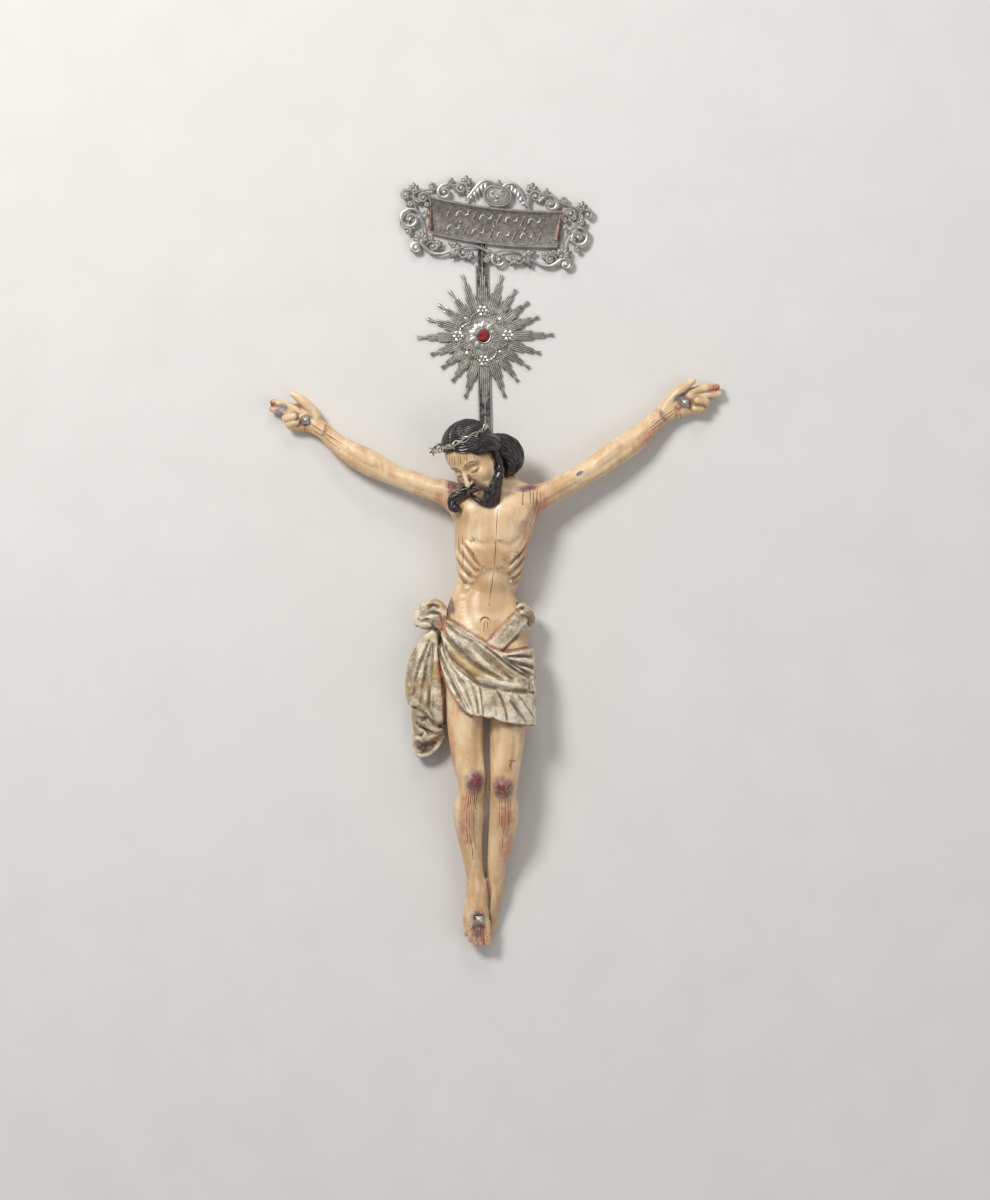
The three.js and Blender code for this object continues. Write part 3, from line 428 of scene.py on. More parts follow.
# Arms: shoulder caps, the long muscles and the tendons of the forearm, palms and knuckles.
flesh.score([
    ([(-34, 460), (-46, 464)], 6, 1.4), ([(50, 460), (62, 464)], 6, 1.4),
    ([(-44, 452), (-60, 456.5), (-78, 463)], 2.6, -0.9), ([(60, 448), (74, 456), (90, 465)], 2.6, -0.9),
    ([(-56, 464), (-74, 471), (-88, 476)], 4, 0.8), ([(72, 464), (86, 473), (98, 480)], 4, 0.8),
    ([(-92, 470), (-100, 476), (-112, 482)], 2.4, -0.8), ([(100, 472), (110, 478), (122, 486)], 2.4, -0.8),
    ([(-104, 486), (-120, 494), (-136, 503)], 3.2, 0.9), ([(112, 490), (128, 502), (144, 512)], 3.2, 0.9),
    ([(-112, 482), (-128, 489.5), (-144, 500), (-156, 511)], 1.8, -0.7),
    ([(120, 486), (136, 497), (150, 508), (164, 521)], 1.8, -0.7),
    ([(-140, 501.5), (-152, 511), (-163, 521)], 1.2, 0.6), ([(150, 513), (162, 524), (172, 534)], 1.2, 0.6),
    ([(-182, 527), (-176, 531)], 3.4, -1.0), ([(196, 543), (191, 548)], 3.4, -1.0),
    ([(-183, 539), (-188, 535), (-190, 529)], 1.1, -0.7), ([(200, 555), (204, 551), (206, 545)], 1.1, -0.7),
    ([(-176, 537), (-181, 540), (-187, 540)], 1.1, -0.7), ([(189, 549), (194, 554), (200, 556)], 1.1, -0.7),
])
for finger in FINGERS:
    (x, y, *_), (tip_x, tip_y, *_) = finger[-2:]
    flesh.score([([(x, y)], 1.2, -0.5), ([((x + tip_x) / 2, (y + tip_y) / 2)], 1.6, 0.35)])

# Head
# Carved with the rest, bowed, turned and leant to the right shoulder, with closed eyes and
# lips a little apart. Its frame has x to the figure's left, y up and z out of the face.
HEAD_MIDDLE = np.array([-11.6, 489.9, 52.0])
head_turn = np.eye(3)
for axis, degrees in (("Z", 18), ("Y", -36), ("X", 25)):
    head_turn = head_turn @ np.array(Matrix.Rotation(math.radians(degrees), 3, axis))


def on_head(stations):
    """Stations of the head's own frame, in the figure's frame."""
    return [(*(HEAD_MIDDLE + head_turn @ np.array(s[:3], float)), *s[3:]) for s in stations]


def both(stations):
    """A line of one side of the face and its mirror image."""
    return [stations, [(-x, *rest) for x, *rest in stations]]


def head_ball(clay, middle, radii):
    """A ball of the head's own frame."""
    return clay.ball(on_head([middle])[0], radii, head_turn)


def face_line(points, width, lift):
    """A stroke on the face, through points of the head's own frame."""
    flesh.stroke(on_head(points), width, lift)


# Skull, brow, jaw and chin, then the cheek bones and the sides of the jaw.
for middle, radii, blend in (
    ((0, -4, 4), (21, 28, 22), 2), ((0, 12, 2), (23, 20, 24), 4),
    ((0, -23, 12), (14.5, 12.5, 13.5), 6), ((0, -32.5, 17.5), (7.5, 5.5, 6.5), 5),
    ((-12, -9.5, 16), (6.6, 5.8, 6), 5), ((-16, -18, 4), (5, 12, 9), 5),
    ((12, -9.5, 16), (6.6, 5.8, 6), 5), ((16, -18, 4), (5, 12, 9), 5),
):
    flesh.join(head_ball(flesh, middle, radii), blend)
NOSE = [(0, 7, 23.6, 2.6, 2.6), (0, 1, 26, 2.2, 2.4), (0, -5, 29, 2.3, 2.6), (0, -10.6, 31.6, 2.8, 2.8)]
flesh.grow(on_head(NOSE), 2.6, 4)
# Eye sockets, closed lids, brows, wings of the nose and the folds beside them.
for side in (-1, 1):
    face_line([(side * 5.4, 1.5, 25), (side * 10, 0.6, 23.5), (side * 14.5, 0, 20)], 3.6, -2.8)
    flesh.join(head_ball(flesh, (side * 9, -1.2, 19.6), (4.8, 3.5, 4.2)), 1.4)
    face_line([(side * 3, 6.2, 26), (side * 8.5, 8.2, 24.6), (side * 15, 6.4, 20.4)], 2.2, 1.1)
    face_line([(side * 4.2, -2.6, 23), (side * 8.8, -4, 23.6), (side * 13.4, -2.4, 21)], 0.85, -1.1)
    face_line([(side * 4.4, 1.0, 23.6), (side * 9, 2.8, 23.2), (side * 13.4, 0.9, 20.4)], 0.85, -0.8)
    face_line([(side * 4.8, -6.2, 24.6), (side * 9.2, -7.4, 23.8)], 1.3, -0.45)
    flesh.join(head_ball(flesh, (side * 2.5, -11.4, 27.8), (1.9, 1.7, 2.5)), 1.8)
    face_line([(side * 1.6, -13.6, 30)], 0.85, -1.0)
    face_line([(side * 4.8, -12.8, 28), (side * 8, -17.5, 25.5)], 1.4, -0.7)
face_line([(0, -14.6, 28.4), (0, -17, 28.2)], 1.2, -0.5)
UPPER_LIP = [
    (-5.6, -20.2, 25.6, 1), (-2.4, -18.8, 27.8, 1.5), (0, -19.2, 28.2, 1.4), (2.4, -18.8, 27.8, 1.5),
    (5.6, -20.2, 25.6, 1),
]
LOWER_LIP = [(-5, -21.6, 25.6, 1), (0, -23.2, 27.4, 1.9), (5, -21.6, 25.6, 1)]
for lip in (UPPER_LIP, LOWER_LIP):
    flesh.grow(on_head(lip), 1.2)
face_line([(-5, -20.9, 26.8), (0, -20.9, 28.8), (5, -20.9, 26.8)], 0.95, -1.6)
face_line([(-3, -26.3, 26), (3, -26.3, 26)], 1.8, -0.8)

# Hair and beard
# Carved in long wavy locks with a veiner: a close cap parted in the middle, a roll swept
# back over the left ear, a mass on the nape, and a lock that ends in a curl on the breast.
hair = Clay((-60, 424, -2), (52, 552, 92))
CAP_STRANDS = 52
CAP_HEIGHT, CAP_BACK = 13.6, 3
cap_spans, cap = head_ball(hair, (0, CAP_HEIGHT, -CAP_BACK), (27, 27, 28))
x, y, z = np.ix_(*(c[s] for c, s in zip(hair.cuts, cap_spans)))
lx, ly, lz = (
    (x - HEAD_MIDDLE[0]) * a + (y - HEAD_MIDDLE[1]) * b + (z - HEAD_MIDDLE[2]) * c for a, b, c in head_turn.T
)
# Strands run from the parting down to the ears. They close up towards the ear, so there are
# half as many there.
fall = np.arctan2(lz + CAP_BACK, ly - CAP_HEIGHT)
fall = fall + 0.05 * np.sin(lx * 0.24) + 0.02 * np.sin(lx * 0.6 + ly * 0.2)
spread = np.sqrt((lz + CAP_BACK) ** 2 + (ly - CAP_HEIGHT) ** 2)
for count, near, far in ((CAP_STRANDS, 13, 99), (CAP_STRANDS // 2, 5, 17)):
    share = np.clip((spread - near) / 4, 0, 1) * np.clip((far - spread) / 4, 0, 1)
    cap = cap - 1.15 * share * (np.abs(np.sin(fall * count / 2)) - 0.5)
cap = cap + 0.9 * np.exp(-(lx / 1.6) ** 2) * (ly > 13)
# The cap ends in a low line over the brow, and behind the cheeks.
hairline = 494.6 + 0.8 * np.sin(x * 0.35) + 0.003 * (x + 14) ** 2 * (x < -20)
cap = np.maximum(cap, np.minimum((hairline - y) * 0.9 + 0 * lz, lz + 9))
hair.join((cap_spans, cap.astype(np.float32)))
# Each lock has its stations, its number of flutes, how deep they are cut and how they twist.
LOCKS = [
    ([(-37, 500, 58, 4, 3), (-31, 497.5, 70, 5, 3.5), (-20, 497.5, 77, 5, 4),
      (-8, 498, 77, 5, 4)], 5, 0.8, 0.05),
    ([(-12, 497.5, 77.5, 3.6), (-4, 499, 75, 4.6), (4, 501, 68, 5), (9, 502, 58, 6)], 5, 0.8, 0.05),
    ([(-18, 506, 76, 3), (-8, 507, 76.5, 4), (2, 508, 70, 5), (10, 508, 58, 5)], 5, 0.9, 0.08),
    ([(-6, 505, 54, 9), (8, 506, 48, 9), (19, 504, 42, 9.5), (27, 497, 38, 9.5), (28, 488, 35, 9),
      (21, 479, 32, 7.5)], 10, 1.5, 0.03),
    ([(12, 512, 44, 4), (22, 509, 44, 5), (30.5, 501.5, 41, 5), (33, 491.5, 40, 5),
      (29, 482, 37, 4.5)], 6, 1.3, 0.1),
    ([(12, 497, 48, 5), (19, 493.5, 46, 6), (24, 486, 43, 6), (19, 477, 38, 5)], 6, 1.3, -0.1),
    ([(12, 489, 44, 4), (14, 481, 42, 4), (19, 475, 36, 5)], 5, 1.0, 0.1),
    ([(-14, 502, 34, 17, 11), (0, 484, 27, 15, 12), (8, 468, 20, 12, 9)], 20, 1.2, 0.02),
    ([(-14, 462, 54, 3.6), (-24, 457, 53, 4.2), (-32, 451.5, 52, 4.4), (-34.5, 446, 52, 4),
      (-33, 441, 53, 3.6)], 5, 1.1, 0.09),
]
for stations, *fluting in LOCKS:
    hair.grow(stations, 0.8, 5, *fluting)
hair.join(hair.ball((-30.5, 441, 54.5), (4.8, 4.8, 4.6)), 0.6)
hair.stroke([(-33, 444, 57), (-29, 445, 58.5), (-27, 442, 59)], 0.9, -0.8)
BEARD = [
    [(21.6, 6, -5, 3, 4), (22.6, -4, -4, 3.4, 4.6), (22, -14, -1, 4, 6), (19.5, -23, 5, 4.4, 7),
     (15, -30, 12, 4.8, 7)],
    [(19.5, -21, 8, 3, 4), (16, -29, 14, 3.4, 4.4), (10.5, -35.5, 18, 3.8, 4.4), (6, -40, 20.5, 3.6, 4),
     (3.4, -44, 21, 2, 2)],
    [(14.5, -25, 16.5, 2.6, 3), (11, -31, 19.5, 3, 3.4), (6.4, -36.5, 22.4, 3, 3), (2.4, -41, 23.4, 2.6, 2.8),
     (1.4, -44, 22, 1.6, 1.8)],
    [(8.6, -27, 22, 1.6, 1.8), (6.4, -31.5, 24, 2.2, 2.2), (2.8, -35.5, 25.4, 2.4, 2.2),
     (0.4, -39, 24.8, 2, 2)],
    [(20, -10, 4, 2, 3), (18.6, -18, 9, 2.4, 3.4), (15.6, -25, 14, 2.6, 3.4)],
]
MOUSTACHE = [
    (0.8, -15.8, 30, 1.4, 1.3), (3.6, -16.8, 29.4, 2, 1.8), (7.2, -19.6, 27.4, 2, 1.9),
    (9.8, -23.6, 24.6, 1.8, 1.9), (11, -27.4, 22, 1.6, 1.8),
]
for lock in (*BEARD, MOUSTACHE):
    for stations in both(lock):
        hair.grow(on_head(stations), 0.7, 5, 4, 0.75, 0.22)

# Loincloth
# A linen cloth in the same wood, primed and painted cream: wrapped across the hips, gathered
# to a knot at the right hip, with a twisted band on the left and a long fall in two tiers.
cloth = Clay((-92, 180, -2), (62, 362, 78))
HIP_CLOTH = [
    (-2, 345, 23, 40, 26), (0, 325, 25, 44, 29), (1, 300, 28, 47, 32), (3, 270, 31, 47.5, 32),
    (5, 245, 33, 45.5, 32), (7, 212, 35, 43, 29),
]
TOP_EDGE = [
    (-52, 341), (-38.2, 330.2), (-22.1, 321), (-3.8, 309.6), (2, 304.5), (9, 301), (19.2, 296.5), (30, 299),
    (45, 301.6), (58, 302),
]
HEM = [
    (58, 223), (50.2, 223.2), (44.4, 223.6), (35.2, 225.2), (29, 225.2), (23.8, 226.6), (17, 227.4),
    (12.3, 229.6), (6.6, 232.4), (2, 232), (-3.8, 233.8), (-9, 233.4), (-15.3, 235.2), (-20, 238),
    (-26.7, 244.5), (-32, 251), (-37, 259.4), (-41.4, 267), (-45.1, 275.5), (-51, 296),
]


def outside(grid, outline):
    """Distance outside an outline of the front view, less than 0 within it."""
    x, y = grid
    nearest, inside = None, np.zeros((x * y).shape, bool)
    for (ax, ay), (bx, by) in zip(outline, outline[1:] + outline[:1]):
        dx, dy = bx - ax, by - ay
        t = np.clip(((x - ax) * dx + (y - ay) * dy) / (dx * dx + dy * dy), 0, 1)
        gap = (x - ax - t * dx) ** 2 + (y - ay - t * dy) ** 2
        nearest = gap if nearest is None else np.minimum(nearest, gap)
        if dy:
            inside ^= ((ay > y) != (by > y)) & (x < dx * (y - ay) / dy + ax)
    return np.sqrt(nearest) * np.where(inside, -1, 1)


cloth.grow(HIP_CLOTH, 0, 4)
# Folds fan out from the knot: x, y and radius along each, and how far it stands out. The
# upper layer of the wrap ends in a thick edge that droops across the thighs.
FOLDS = [
    ([(-38.2, 328.4, 1.2), (-22.1, 319, 1.4), (-3.8, 307.6, 1.5), (19.2, 290.6, 1.6), (30.7, 282, 1.7),
      (45, 272, 1.6)], 0.5),
    ([(-41, 322, 2.0), (-33, 313, 2.6), (-20, 303, 2.8), (-6, 291, 3.0), (8, 279, 3.0), (20, 271, 2.6)], 0.5),
    ([(-43, 318, 2.4), (-37.5, 304, 3.6), (-26, 290.5, 4.6), (-14, 281, 4.6), (-3, 274, 3.8), (8, 270, 3)],
     1.5),
    ([(-46.2, 314, 2.2), (-42.5, 299, 2.8), (-37, 286, 3.4), (-27, 276, 3.4), (-17, 269.5, 2.6)], 0.6),
    ([(-14, 312, 1.0), (2, 299, 1.2), (18, 285, 1.4), (30, 276, 1.2)], 0.2),
    ([(-16, 308, 1.0), (0, 294.5, 1.2), (14, 281.5, 1.4), (25, 273, 1.2)], 0.2),
    ([(-7, 271.5, 2.2), (8, 268.3, 2.6), (24, 265, 2.6), (43, 262.5, 2.2)], 0.9),
    ([(-47, 306, 2), (-43, 287, 2.6), (-38, 272, 3), (-30, 256, 3)], 0.6),
    ([(-38, 284, 2), (-31.3, 273, 2.8), (-24, 259, 3.4), (-17.5, 244, 3), (-15, 237, 2.6)], 1.0),
    ([(-19, 269, 1.8), (-14, 254, 2.8), (-10, 239, 2.6)], -0.4),
    ([(-8.5, 262, 1.6), (-6, 250, 1.8), (-4.6, 238, 1.8)], -0.2),
    ([(-1, 262, 1.8), (3, 248, 3.0), (5.5, 236, 3)], -0.4),
    ([(9, 260, 1.6), (14, 247, 2.6), (18, 232, 2.6)], -0.4),
    ([(17, 258, 1.8), (24, 246, 3.2), (30, 230, 3.4)], -0.3),
    ([(29.5, 253, 1.8), (38, 240.5, 3.0), (45, 228, 3.4)], 0.3),
    ([(38, 256, 1.6), (44, 246, 2.2), (46.5, 236, 2)], -0.3),
    ([(21.5, 294.6, 1.6), (34, 297, 2.2), (45.6, 298.6, 2)], 0.6),
    ([(23.8, 291.4, 1.8), (36, 289, 3.2), (46.2, 286.5, 2.8)], 1.2),
    ([(30.7, 285, 1.6), (39, 281, 2.4), (46.2, 277.4, 2.2)], 0.9),
    ([(46.4, 272, 1.4), (46.8, 264, 1.6)], 0.4),
]
laid = [([(x, y, cloth.front(x, y) - 0.4 * r, r) for x, y, r in fold], lift) for fold, lift in FOLDS]
for fold, lift in laid:
    cloth.grow([(x, y, z + lift, r) for x, y, z, r in fold], 2.0, 4)
CREASES = [
    ([(-40.5, 307), (-38, 297), (-30.2, 286.5), (-16.4, 273.8), (-7.2, 266), (6.6, 262.6), (23.8, 259.4),
      (43.3, 257.4), (47, 257)], 1.6, -3.2),
    ([(-41.5, 320), (-36, 309), (-24, 297.5), (-12, 287), (0, 279), (12, 272.5)], 1.2, -2.4),
    ([(-39, 325.5), (-28, 316), (-14, 307), (4, 291), (19, 277), (27, 270)], 1.1, -1.7),
    ([(-45, 311), (-41.5, 297), (-36, 284), (-27, 273.5)], 1.1, -1.6),
    ([(-36, 325.6), (-20, 316.6), (-3, 305), (18, 288.4), (29, 280), (42, 272)], 0.9, -1.5),
    ([(-46, 297), (-40.5, 279), (-31, 262), (-24, 249)], 1.0, -1.2),
    ([(-33.6, 275), (-26.7, 260.5), (-21, 249), (-16.4, 241)], 0.9, -1.6),
    ([(-14.5, 266), (-10, 252), (-7.5, 238)], 0.9, -0.5),
    ([(-6.1, 263.6), (-4, 249), (-2.6, 235)], 0.8, -0.8),
    ([(3.6, 262), (9, 247), (10.6, 233)], 0.9, -0.5),
    ([(11.1, 259), (18, 245), (21.5, 228)], 0.9, -1.3),
    ([(18, 256), (22, 247), (27, 238)], 0.8, -0.4),
    ([(24.9, 248.5), (33, 237.5), (41, 226.5)], 1.5, -2.2),
    ([(33, 254), (41, 242), (47, 232)], 0.8, -0.5),
    ([(18, 292.3), (26, 286.6), (33, 282), (43.3, 275)], 1.2, -1.8),
    ([(22, 293.2), (34, 293.2), (46, 292.6)], 1.0, -1.6),
    ([(26, 287.5), (36, 284.6), (46, 281.6)], 1.0, -1.5),
    ([(43.3, 273), (43.5, 262), (43.3, 254)], 0.9, -1.8),
]
cloth.score(CREASES)
# The wrap is cut to its outline, and hollowed from below for the legs.
whole_block, (x, y, z) = cloth.window((-99,) * 3, (99, 400, 99))
wrap = outside((x, y), TOP_EDGE + HEM)
cloth.carve((whole_block, -(wrap + 0 * z).astype(np.float32)), 1.4)
HOLLOW_TOP = 241
inner = [(x, y, z - 1.5, w - 4.2, d - 4.6) for x, y, z, w, d in HIP_CLOTH[2:]]
spans, under = cloth.limb(inner + [(8, 190, 34, 38, 24)], 4)
below = (cloth.cuts[1][None, spans[1], None] - HOLLOW_TOP).astype(np.float32)
cloth.carve((spans, np.maximum(under, below)), 1.2)
# The band is a strip of the same cloth, folded over the left hip, with a crumpled end.
BELT = [
    (3, 300, 53.5, 6.5, 2.2), (11.7, 307, 53, 8.2, 2.4), (22, 317.5, 49, 8.4, 2.6), (32, 328.5, 41.5, 8, 3),
    (38, 334.5, 33, 7, 4), (41.5, 336, 20, 6, 6),
]
cloth.grow(BELT, 0.7, 5, 19, 0.5)
for stations in (
    [(30.5, 341, 34, 2), (35, 343.6, 32, 3.2), (40, 342, 30, 3.4), (44, 338, 26, 3)],
    [(36, 337, 39, 3), (41, 337, 33, 4.4), (44.6, 332, 28, 4.4), (45, 326, 25, 3.6)],
):
    cloth.grow(stations, 1.4, 4)
cloth.score([
    ([(31, 338.6), (37, 340.4), (42.6, 336), (46, 331)], 1.1, -1.8),
    ([(35, 333), (40, 332.4), (44, 327)], 1.0, -1.3),
    ([(30, 335.6), (34, 332), (38.6, 328)], 1.0, -1.2),
    ([(19, 295.5), (30, 307.5), (41.5, 320)], 1.2, 0.8),
])
# Fall of the cloth beside the right thigh: a broad upper tier of hollow folds, and a
# crumpled lower one that turns up to show its inside.
TAIL = [
    [(-54, 317, 30, 3.4), (-65, 303, 26, 4.6), (-75, 282, 21.5, 4.4), (-77, 262, 18.5, 4.2),
     (-75.5, 248, 16.5, 4)],
    [(-53, 316, 32, 3.4), (-59, 296, 30.5, 4.8), (-65, 272, 28, 6.4), (-68.6, 252, 25, 6.2),
     (-67, 244.5, 23, 4.6)],
    [(-52, 315, 32, 3), (-55, 294, 31, 3.6), (-58.5, 268, 28.5, 3.6), (-61, 246, 26, 3.6)],
    [(-50.6, 315, 32, 3.2), (-50, 294, 32, 4.6), (-49, 268, 31, 7.2), (-48.5, 246, 29, 8), (-46, 232, 26, 6)],
    [(-58, 312, 24, 4), (-66.4, 296, 19, 6), (-71, 276, 15, 6.4), (-72, 258, 13, 6), (-71, 244, 12, 5.6)],
    [(-66, 270, 12, 8), (-69, 250, 13, 7.4), (-67, 226, 14, 7), (-67, 210, 12, 6.6), (-67.5, 200, 10.5, 6)],
    [(-56, 262, 16, 9), (-55, 236, 17, 8), (-55, 215, 15, 7.4), (-57, 203, 12, 6.4)],
    [(-48, 320, 24, 4), (-46.5, 300, 22, 4.6), (-46, 278, 22, 4)],
    [(-47, 262, 18, 8), (-48, 236, 17, 7.4), (-48, 217, 15, 6.4), (-50, 207, 13, 5)],
]
RUFFLES = [
    [(-70, 234, 18, 3), (-66, 228, 21.6, 3.4), (-59, 224.5, 23.6, 3.6), (-51, 219, 23.4, 3.4),
     (-45, 220, 20, 3)],
    [(-70, 222, 18, 3), (-64.5, 219.5, 21.6, 3.2), (-60.5, 213, 23.4, 3.2), (-64, 208.6, 22, 2.6)],
    [(-72, 207, 15, 2.4), (-67, 210.4, 19.6, 2.4), (-60, 209.4, 22, 2.6), (-53, 213.4, 22.4, 2.8),
     (-45.5, 216, 19, 2.6)],
    [(-71.5, 205, 13, 2.4), (-70.4, 197, 13, 2.4), (-66, 193.6, 13, 2.4), (-57, 195.6, 14, 2.4),
     (-48, 203.6, 15.4, 2.4), (-43.6, 213, 16.6, 2.4)],
]
fall_block = Clay((-92, 180, -2), (-30, 335, 60))
for stations in TAIL:
    fall_block.grow([(x, y, z, r, r * 1.15) for x, y, z, r in stations], 2.0, 4)
SHEET = [
    (-56, 312, 29, 5, 5), (-60, 292, 28, 11, 6.5), (-62.5, 268, 26.5, 15.5, 7), (-61, 248, 24, 16, 6.5),
    (-58, 238, 22, 14, 5),
]
fall_block.grow(SHEET, 3.0, 4)
for stations in RUFFLES:
    fall_block.grow(stations, 1.2, 5)
FALL_CREASES = [
    ([(-56.7, 309), (-62.3, 295.7), (-70.3, 273), (-73, 255)], 1.7, -3.6),
    ([(-55, 305), (-57.7, 291), (-62, 268), (-64.6, 247)], 1.4, -2.4),
    ([(-53, 305), (-53.8, 288), (-55.6, 266), (-57, 243)], 1.3, -2.0),
    ([(-68, 272), (-70.4, 262), (-72, 252)], 1.2, -0.9),
    ([(-47.6, 300), (-44.6, 280), (-43, 254)], 1.2, -0.9),
    ([(-54, 262), (-53, 250), (-53, 238)], 1.1, -0.9),
    ([(-78, 243), (-70, 241), (-62.3, 236.4), (-55.4, 229.4), (-47, 223), (-40, 220)], 1.5, -3.0),
    ([(-66, 223), (-60, 219.5), (-53, 216)], 1.2, -1.8),
    ([(-69, 214.6), (-65, 214), (-62.6, 217)], 1.1, -1.6),
    ([(-66.6, 201), (-60, 202.4), (-51.6, 207)], 3.4, -3.4),
    ([(-64, 229), (-58, 231), (-50, 226)], 1.4, -1.6),
    ([(-71, 229), (-68.6, 224)], 1.1, -1.4),
]
fall_block.score(FALL_CREASES)
cloth.take(fall_block, 1.0)
# Knot: two round masses under three fluted rolls.
cloth.join(cloth.ball((-56, 334.5, 23), (13.6, 12.6, 13)), 1.0)
cloth.join(cloth.ball((-60, 325.6, 29), (9.6, 5.6, 6.4)), 1.4)
KNOT = [
    [(-44, 321, 31, 4.6), (-43, 331, 31, 5), (-44.5, 341, 29.5, 5), (-51.5, 346.4, 28.5, 4.4),
     (-60, 343.6, 27.5, 4.6), (-67, 334.6, 26.5, 4.8), (-68.4, 327, 26, 4.4)],
    [(-41, 318, 30, 5), (-46.5, 325, 33, 5.4), (-51.5, 331.4, 34, 4.6), (-58, 333.6, 33.6, 3.4),
     (-63.6, 331, 31, 3)],
    [(-46, 338, 33, 2.4), (-52, 340, 34, 2.6), (-57.4, 338.4, 33.4, 2.6)],
]
for stations in KNOT:
    cloth.grow(stations, 1.0, 5, 7, 0.6, 0.05)
cloth.score([
    ([(-47.6, 342.6), (-53.6, 343.4), (-60, 339), (-63.6, 334.6)], 1.3, -2.6),
    ([(-48, 335.6), (-55, 336.2), (-60.6, 335)], 1.1, -1.8),
    ([(-50.6, 326.6), (-57.6, 329.4), (-66, 328)], 1.1, -1.7),
    ([(-53, 320), (-61, 319.6), (-68, 323)], 1.3, -1.0),
    ([(-46.6, 333), (-42, 323)], 1.1, -1.2),
    ([(-49.6, 322), (-46.6, 315), (-47, 306)], 1.3, -1.4),
    ([(-44, 319), (-41, 313)], 1.0, -1.2),
])

# Worn gesso is never quite smooth: small waves, seeded, over the cloth and lower over the hair.
waves = np.random.default_rng(11)
WAVE_COUNT = 7


def roughen(block, sizes, depth):
    """Uneven waves over a block, from these sizes."""
    grid = np.ix_(*block.cuts)
    rough = 0
    for _ in range(WAVE_COUNT):
        size = waves.uniform(*sizes)
        aim = waves.normal(size=3)
        aim *= 2 * math.pi / size / np.linalg.norm(aim)
        shift = waves.uniform(0, 6.28, 3)
        parts = [np.sin(g * np.float32(a) + np.float32(s)) for g, a, s in zip(grid, aim, shift)]
        rough = rough + parts[0] * parts[1] * parts[2]
    block.depth += (np.float32(depth / math.sqrt(WAVE_COUNT / 4)) * rough) * (np.abs(block.depth) < 4)


roughen(cloth, (7, 22), 0.16)
roughen(hair, (8, 20), 0.12)

# Carved surface
# The three blocks are joined, the back is planed flat and the seats of the nails, the crown
# and the halo's stem are cut, each a little larger than what it holds.
CROWN_MIDDLE = np.array([-26.0, 510.5, 53.5])
CROWN_RADII = (29.8, 29.0)
CROWN_SLOPE, CROWN_DROP = math.radians(24.8), math.radians(8)
crown_side = np.array([math.cos(CROWN_SLOPE), math.sin(CROWN_SLOPE), 0])
crown_up = np.cross((0, 0, 1), crown_side) * math.cos(CROWN_DROP) + np.array([0, 0, math.sin(CROWN_DROP)])
crown_ahead = np.cross(crown_side, crown_up)


def crown_point(turn, out=0.0, up=0.0):
    """A point of the ring round the head, by share of a turn from the brow, in grid steps."""
    angle = turn * 2 * math.pi
    side = (CROWN_RADII[0] + out) * math.sin(angle)
    ahead = (CROWN_RADII[1] + out) * math.cos(angle)
    return CROWN_MIDDLE + side * crown_side + ahead * crown_ahead + up * crown_up


BED_STEPS, BED_RADIUS = 40, 2.1
bed = [(*crown_point(i / BED_STEPS), BED_RADIUS) for i in range(BED_STEPS + 1)]
hair.carve(hair.limb(bed, 1), 0.6)

whole = Clay()
whole.depth[:] = flesh.depth
whole.take(hair, 0.5)
whole.take(cloth)
NAIL_HEAD, NAIL_SHANK = 0.0024, 0.0011
HEAD_AIR, SHANK_AIR = 0.5, 0.6
HEAD_SEAT = NAIL_HEAD / STEP + HEAD_AIR
SHANK_SEAT = NAIL_SHANK / STEP + SHANK_AIR
for nx, ny, top in NAIL_PLACES.values():
    spans, (x, y, z) = whole.window((nx - 9, ny - 9, -2), (nx + 9, ny + 9, 60))
    away = np.sqrt((x - nx) ** 2 + (y - ny) ** 2)
    square = np.maximum(np.abs(x - nx), np.abs(y - ny)) - HEAD_SEAT
    hole = np.minimum(away - SHANK_SEAT + 0 * z, np.maximum(square + 0 * z, top - z))
    whole.carve((spans, hole.astype(np.float32)), 0.5)
STEM_LEAN = math.radians(1.2)
STEM_HALF, STEM_DEPTH = 0.0039, 0.0015
STEM_LINE, STEM_RUN = 462, 0.030
STEM_AIR = 0.6
HALO_MIDDLE = (-2.5, 615)
spans, (x, y, z) = whole.window((-20, 400, -2), (20, 540, 10))
lean_x = (x - HALO_MIDDLE[0]) * math.cos(STEM_LEAN) + (y - HALO_MIDDLE[1]) * math.sin(STEM_LEAN)
groove = np.maximum(np.abs(lean_x) - (STEM_HALF / STEP + STEM_AIR), z - (STEM_DEPTH / STEP + STEM_AIR))
groove = np.maximum(groove, (STEM_LINE - (STEM_RUN + 0.0004) / STEP) - y)
whole.carve((spans, groove.astype(np.float32)))
whole.depth = np.maximum(whole.depth, -CUTS[2][None, None, :])


